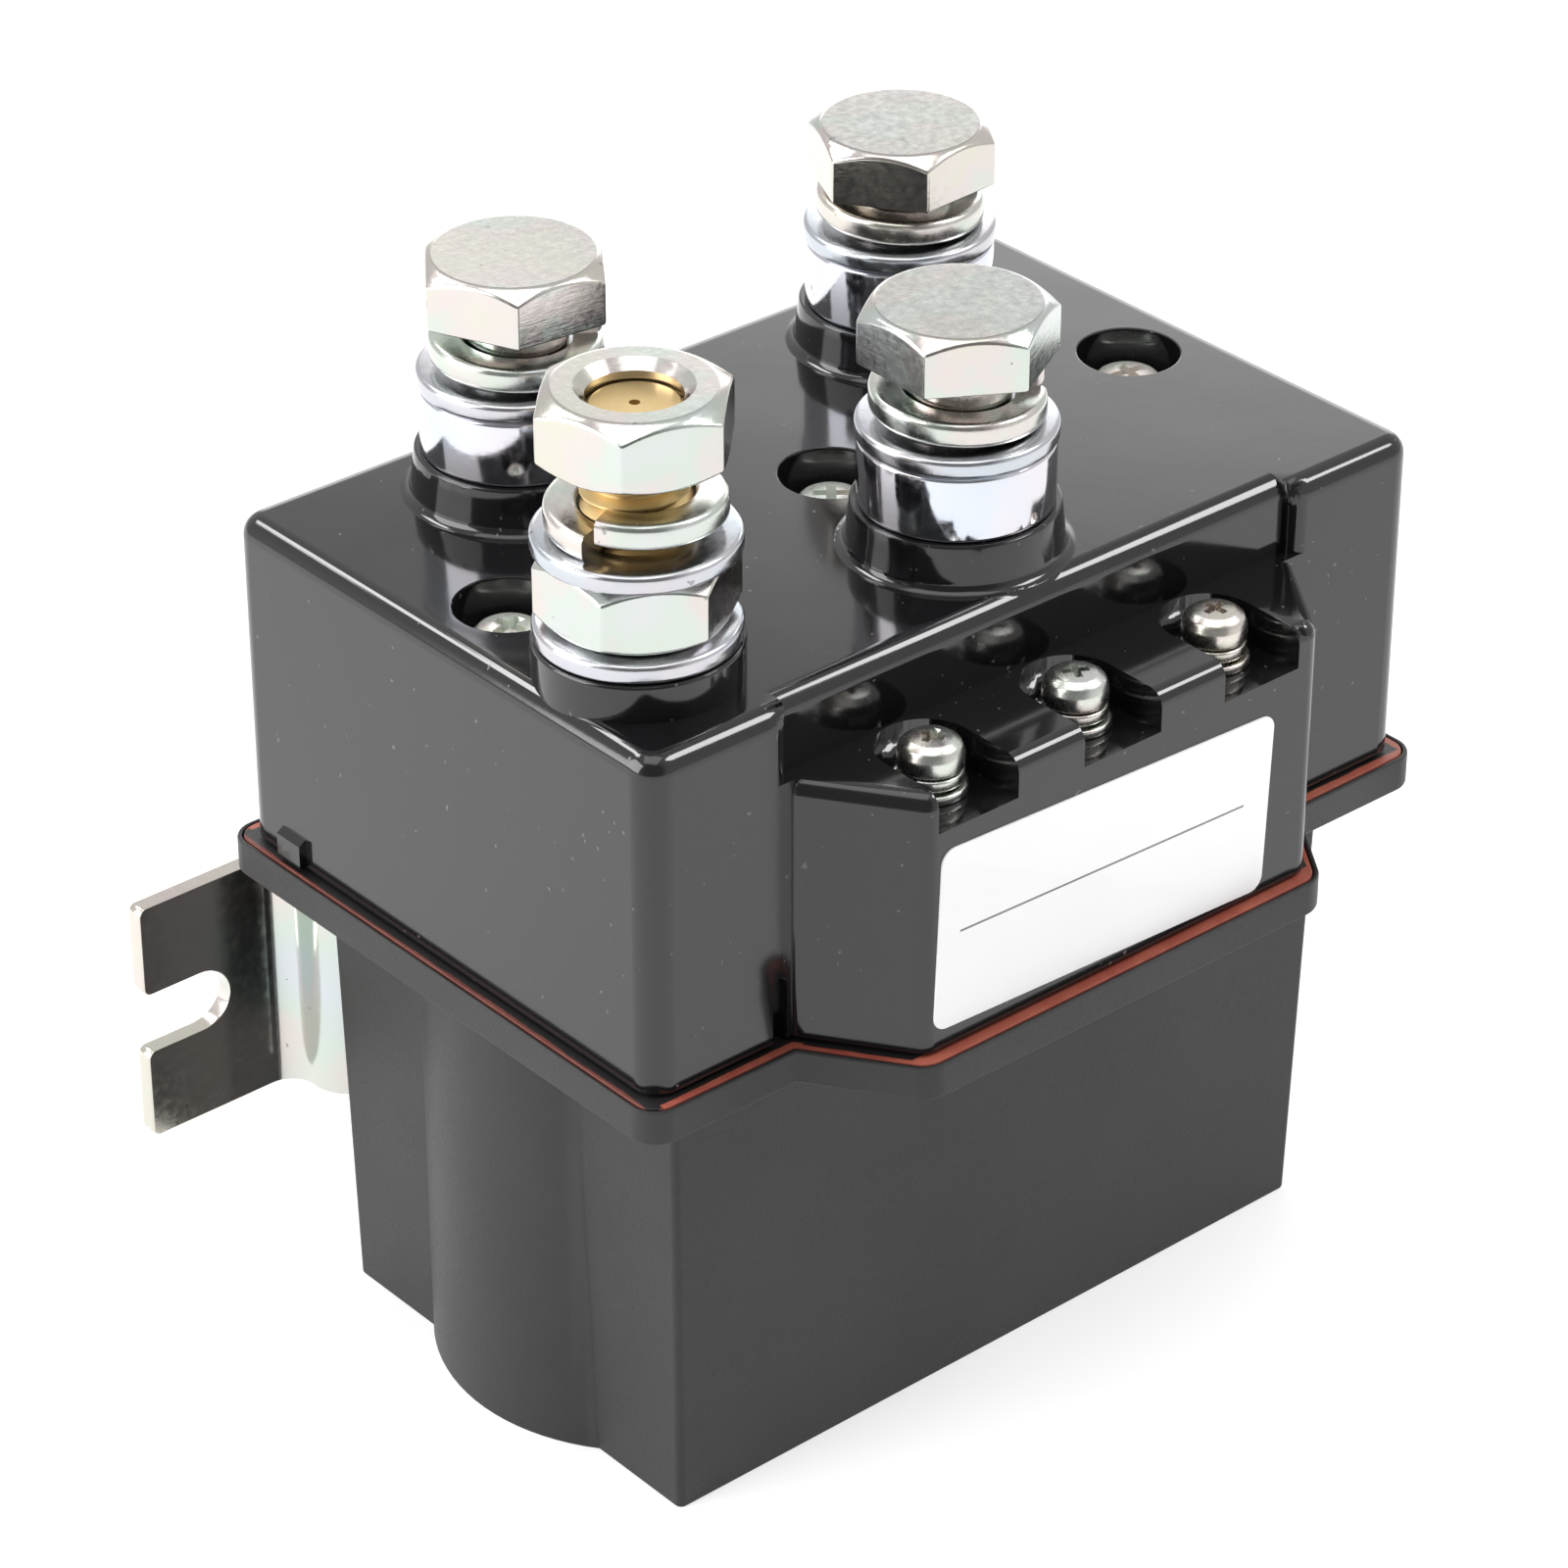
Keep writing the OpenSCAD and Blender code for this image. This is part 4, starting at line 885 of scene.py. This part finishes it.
posts = {
    "collar": 7.33,
    "low": 73.0,
    "high": 78.2,
    "shank": 5.55,
    "tail": 3.5,
    "step": 61.8,
    "bore": 4.0,
    "boreEnd": 62.3,
    "mouth": 0.4,
    "mouthSoft": 0.1,
    "soft": 0.32,
    "tailSoft": 0.2,
    "places": [
        {"name": "positivePost", "node": "positive_post", "centre": (0, -13.75), "foot": 49.2},
        {"name": "outputPostLeft", "node": "output_post_left", "centre": (-18.85, 13.65), "foot": 60.5},
        {"name": "outputPostRight", "node": "output_post_right", "centre": (18.85, 13.65), "foot": 60.5},
    ],
}


def makePosts(look):
    soft = look["soft"]
    edge = look["tailSoft"]
    bore = look["bore"]
    mouth = look["mouth"]
    high = look["high"]
    for place in look["places"]:
        foot = place["foot"]
        plan = turned([
            (0, foot, 0), (look["tail"], foot, edge), (look["tail"], look["step"], 0),
            (look["shank"], look["step"], edge), (look["shank"], look["low"], 0),
            (look["collar"], look["low"], soft), (look["collar"], high, soft),
            (bore + mouth, high, look["mouthSoft"]), (bore, high - mouth, 0),
            (bore, look["boreEnd"], 0), (0, look["boreEnd"], 0)], 96)
        settle(place["name"], shift(plan, *place["centre"]), "nickel_post", place["node"])


makePosts(posts)
print("posts made")


# Negative stud with its thread cut as a helix

stud = {
    "centre": (-29.5, -13.25),
    "crest": 3.95,
    "root": 3.3,
    "pitch": 1.25,
    "rib": [("root", 0.06), ("crest", 0.44), ("crest", 0.56), ("root", 0.94), ("root", 1.06)],
    "foot": (5.2, 55.5, 58.5),
    "footSoft": 0.3,
    "overlap": 0.2,
    "top": 90.4,
    "bevel": 0.8,
    "bevelSlope": 45,
    "dimple": (0.4, 0.8),
}


def threadOf(look, low, high, steps=36):
    # One rib of thread swept upwards, its turns merged, and cut off flat at both ends; it starts
    # a turn and a half too low and ends too high, so that both cuts meet full turns
    pitch = look["pitch"]
    begin = low - pitch * 1.5
    turns = int((high - begin) / pitch) + 3
    plan = bmesh.new()
    line = [plan.verts.new((look[side] * mm, 0, (begin + z * pitch) * mm)) for side, z in look["rib"]]
    for pair in zip(line, line[1:]):
        plan.edges.new(pair)
    bmesh.ops.spin(plan, geom=plan.verts[:] + plan.edges[:], cent=(0, 0, 0), axis=(0, 0, 1),
                   dvec=(0, 0, pitch / steps * mm), angle=2 * pi * turns, steps=steps * turns)
    bmesh.ops.remove_doubles(plan, verts=plan.verts, dist=2 * weld)
    cutAway(plan, (0, 0, high * mm), (0, 0, 1))
    cutAway(plan, (0, 0, low * mm), (0, 0, -1))
    bmesh.ops.recalc_face_normals(plan, faces=plan.faces)
    return plan


def makeStud(look):
    radius, low, high = look["foot"]
    foot = turned([(0, low, 0), (radius, low, look["footSoft"]), (radius, high, look["footSoft"]),
                   (0, high, 0)], 60)
    top = look["top"]
    shank = threadOf(look, high - look["overlap"], top)
    coneCut(shank, look["crest"] - look["bevel"], top, look["bevelSlope"], count=36)
    wide, deep = look["dimple"]
    shank = carve(shank, turned([(0, top - deep, 0), (wide, top - deep, 0), (wide, top + deep, 0),
                                 (0, top + deep, 0)], 16))
    settle("negativeStud", shift(gather([foot, shank]), *look["centre"]), "brass", "negative_stud")


makeStud(stud)
print("stud made")


# Return springs; the real ones shorten as the plungers come down, but these coils keep one length

returnSprings = {
    "wire": 0.25,
    "wireSoft": 0.9,
    "radius": 2.05,
    "turns": 8,
    "foot": 10.784,
    "long": 14.43,
    "anchor": 10.75,
    "travel": 2.5,
    "spare": 0.02,
    "places": [
        {"name": "returnSpringLeft", "node": "return_spring_left", "joint": "armature_left_slide",
         "x": -18.85},
        {"name": "returnSpringRight", "node": "return_spring_right", "joint": "armature_right_slide",
         "x": 18.85},
    ],
}


def makeReturnSprings(look):
    wire = look["wire"]
    soft = look["wireSoft"] * wire
    near = look["radius"] - wire
    far = look["radius"] + wire
    turns = look["turns"]
    for place in look["places"]:
        coil = helixOf([(near, 0, soft), (far, 0, soft), (far, 2 * wire, soft), (near, 2 * wire, soft)],
                       0, 360 * turns, look["long"] - 2 * wire, 24 * turns)
        shift(coil, place["x"], 0, look["foot"])
        piece = settle(place["name"], coil, "steel_rod", place["node"])
        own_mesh(piece)


makeReturnSprings(returnSprings)
print("return springs made")


# Cross-recessed screws; a place is x, y, z and the turn of the recess

screws = [
    {"name": "coilScrews", "node": "coil_screws", "slot": "coil_screw", "axis": "Z",
     "head": 4.9, "high": 2.4, "shank": 3.0, "length": 8.0, "soft": 0.3,
     "cross": 3.0, "blade": 0.62, "deep": 1.15,
     "places": [(-14.5, -27.35, 62.15, 20), (-0.5, -27.35, 62.15, 62), (13.5, -27.35, 62.15, 5)]},
    {"name": "coverScrews", "node": "cover_screws", "slot": "zinc_screw", "axis": "Z",
     "head": 7.0, "high": 5.7, "shank": 4.0, "length": 26.0, "soft": 0.35,
     "cross": 4.3, "blade": 0.85, "deep": 1.2,
     "places": [(-30.7, 0, 62.0, 12), (0, 0, 62.0, 50), (30.7, 0, 62.0, 80)]},
    {"name": "strapScrews", "node": "strap_screws", "slot": "zinc_screw", "axis": "Y",
     "head": 7.0, "high": 2.4, "shank": 4.0, "length": 6.4, "soft": 0.35,
     "cross": 4.3, "blade": 0.85, "deep": 1.2,
     "places": [(-15, 23.8, 25.1, 25), (15, 23.8, 25.1, 70)]},
]
screwShape = {
    "tip": 0.3,
    "taper": (0.35, 0.8, 1),
    # Shares of the head's radius, height and softness
    "dome": [(1, 0.5, 0.5), (0.9, 0.78, 0.6), (0.66, 0.95, 0.4), (0.34, 1, 0)],
}


def crossBlade(look, shape, turn):
    # One tapered wing pair of the recess
    plan = bmesh.new()
    bmesh.ops.create_cube(plan, size=1)
    size = (look["cross"] * mm, look["blade"] * mm, 2 * look["deep"] * mm)
    bmesh.ops.scale(plan, verts=plan.verts, vec=size)
    low = [v for v in plan.verts if v.co.z < 0]
    bmesh.ops.scale(plan, verts=low, vec=shape["taper"])
    return shift(plan, z=look["high"], turn=turn)


def panHead(look, shape):
    # Domed head and shank in one turned outline
    radius = look["head"] / 2
    high = look["high"]
    soft = look["soft"]
    shank = look["shank"] / 2
    low = -look["length"]
    dome = [(radius * out, high * up, soft * ease) for out, up, ease in shape["dome"]]
    return turned([(0, low, 0), (shank, low, shape["tip"]), (shank, 0, 0), (radius, 0, soft), *dome,
                   (0, high, 0)], 64)


def makeScrews(look, shape):
    made = []
    for x, y, z, turn in look["places"]:
        plan = carve(panHead(look, shape), crossBlade(look, shape, 0))
        plan = carve(plan, crossBlade(look, shape, 90))
        turnBy(plan, turn)
        if look["axis"] == "Y":
            turnBy(plan, -90, "X")
        made.append(shift(plan, x, y, z))
    settle(look["name"], gather(made), look["slot"], look["node"])


for look in screws:
    makeScrews(look, screwShape)
print("screws made")


# Blank label with one thin divider line

label = {
    "centre": (-1.8, -32.45, 50.5),
    "size": (33.0, 15.0),
    "round": 1.2,
    "thick": 0.15,
    "rim": 0.05,
    "tilt": 2.2,
}


def makeLabel(look):
    length, height = look["size"]
    thick = look["thick"] * mm
    plan = bmesh.new()
    bmesh.ops.create_grid(plan, x_segments=1, y_segments=1, size=0.5)
    bmesh.ops.scale(plan, verts=plan.verts, vec=(length * mm, height * mm, 1))
    roundOff(plan, plan.verts[:], look["round"], 6, "VERTICES", clamp=False)
    face = bmesh.ops.extrude_face_region(plan, geom=plan.faces[:])
    raised = [v for v in face["geom"] if isinstance(v, bmesh.types.BMVert)]
    bmesh.ops.translate(plan, verts=raised, vec=(0, 0, thick))
    bmesh.ops.recalc_face_normals(plan, faces=plan.faces)
    rim = [e for e in plan.edges if all(v.co.z > 0.5 * thick for v in e.verts)]
    roundOff(plan, rim, look["rim"], 2)
    turn = Matrix.Rotation(radians(90), 3, "X") @ Matrix.Rotation(radians(-look["tilt"]), 3, "Z")
    bmesh.ops.rotate(plan, verts=plan.verts, cent=(0, 0, 0), matrix=turn)
    settle("blankLabel", shift(plan, *look["centre"]), "blank_label", "label")


makeLabel(label)
print("label made")


# Floor, backdrop and lights

floorLook = {
    "size": 6,
    "tint": (0.52, 0.52, 0.52, 1),
    "pale": (0.54, 0.54, 0.54, 1),
    "cloud": (3, 2, 0.5),
    "rough": 0.9,
    "glow": (1, 1, 1, 1),  # like a sheet lit from below
    "glowPower": 0.55,
}


def makeFloor(look):
    mesh = bpy.data.meshes.new("paleFloor")
    plan = bmesh.new()
    bmesh.ops.create_grid(plan, x_segments=1, y_segments=1, size=look["size"])
    plan.to_mesh(mesh)
    plan.free()
    floor = bpy.data.objects.new("paleFloor", mesh)
    bpy.context.scene.collection.objects.link(floor)
    graph = Graph("palePaper")
    tint = graph.blend(graph.noise(*look["cloud"]), look["tint"], look["pale"])
    mesh.materials.append(graph.look(Base_Color=tint, Roughness=look["rough"],
                                     Emission_Color=look["glow"], Emission_Strength=look["glowPower"]))


studio = {
    "room": (1, 1, 1, 1),
    "roomPower": 0.82,
    "windowPower": 2.6,
    "windowWay": (0.709, 0.689, 0.152),
    "windowEdge": (0.925, 0.966),
    "shadeWay": (-0.59, -0.69, 0.42),
    "shadeEdge": (0.55, 0.88),
    "shadePower": 0.3,
    "aim": (0, 0, 0.05),
    "lamps": [
        {"name": "keyBox", "place": (0.71, -0.45, 1.0), "size": (0.4, 0.4), "power": 6.0},
        {"name": "stripBox", "place": (-0.21, 0.80, 0.97), "size": (0.34, 0.34), "power": 4.0},
        {"name": "topBox", "place": (-0.15, -0.1, 1.3), "size": (1.0, 1.0), "power": 5.0},
        {"name": "leftBox", "place": (-0.88, 0.35, 0.5), "size": (0.8, 0.8), "power": 11.0},
    ],
}


def makeStudio(look):
    # A pale room, brighter low down at the back right and dim in front, and four soft boxes
    world = bpy.data.worlds.new("paleRoom")
    bpy.context.scene.world = world
    world.use_nodes = True
    room = Graph("paleRoom", world.node_tree)
    way = room.add("ShaderNodeTexCoord", output="Generated")

    def patch(name, inside, outside):
        facing = room.add("ShaderNodeVectorMath", {"operation": "DOT_PRODUCT"},
                          {0: way, 1: look[name + "Way"]}, output="Value")
        low, high = look[name + "Edge"]
        return room.add("ShaderNodeMapRange", {"interpolation_type": "SMOOTHSTEP"}, {
            0: facing, 1: low, 2: high, 3: outside, 4: inside})

    window = patch("window", look["windowPower"], look["roomPower"])
    shade = patch("shade", look["shadePower"], 1.0)
    background = world.node_tree.nodes["Background"]
    room.plug(background.inputs["Strength"], window * shade)
    room.plug(background.inputs["Color"], look["room"])
    for lamp in look["lamps"]:
        data = bpy.data.lights.new(lamp["name"], "AREA")
        data.shape = "RECTANGLE"
        data.size, data.size_y = lamp["size"]
        data.energy = lamp["power"]
        box = bpy.data.objects.new(lamp["name"], data)
        box.location = lamp["place"]
        box.rotation_euler = (Vector(look["aim"]) - box.location).to_track_quat("-Z", "Y").to_euler()
        bpy.context.scene.collection.objects.link(box)
    bpy.context.scene.view_settings.view_transform = "Standard"


makeFloor(floorLook)
makeStudio(studio)
print("floor and lamps set")
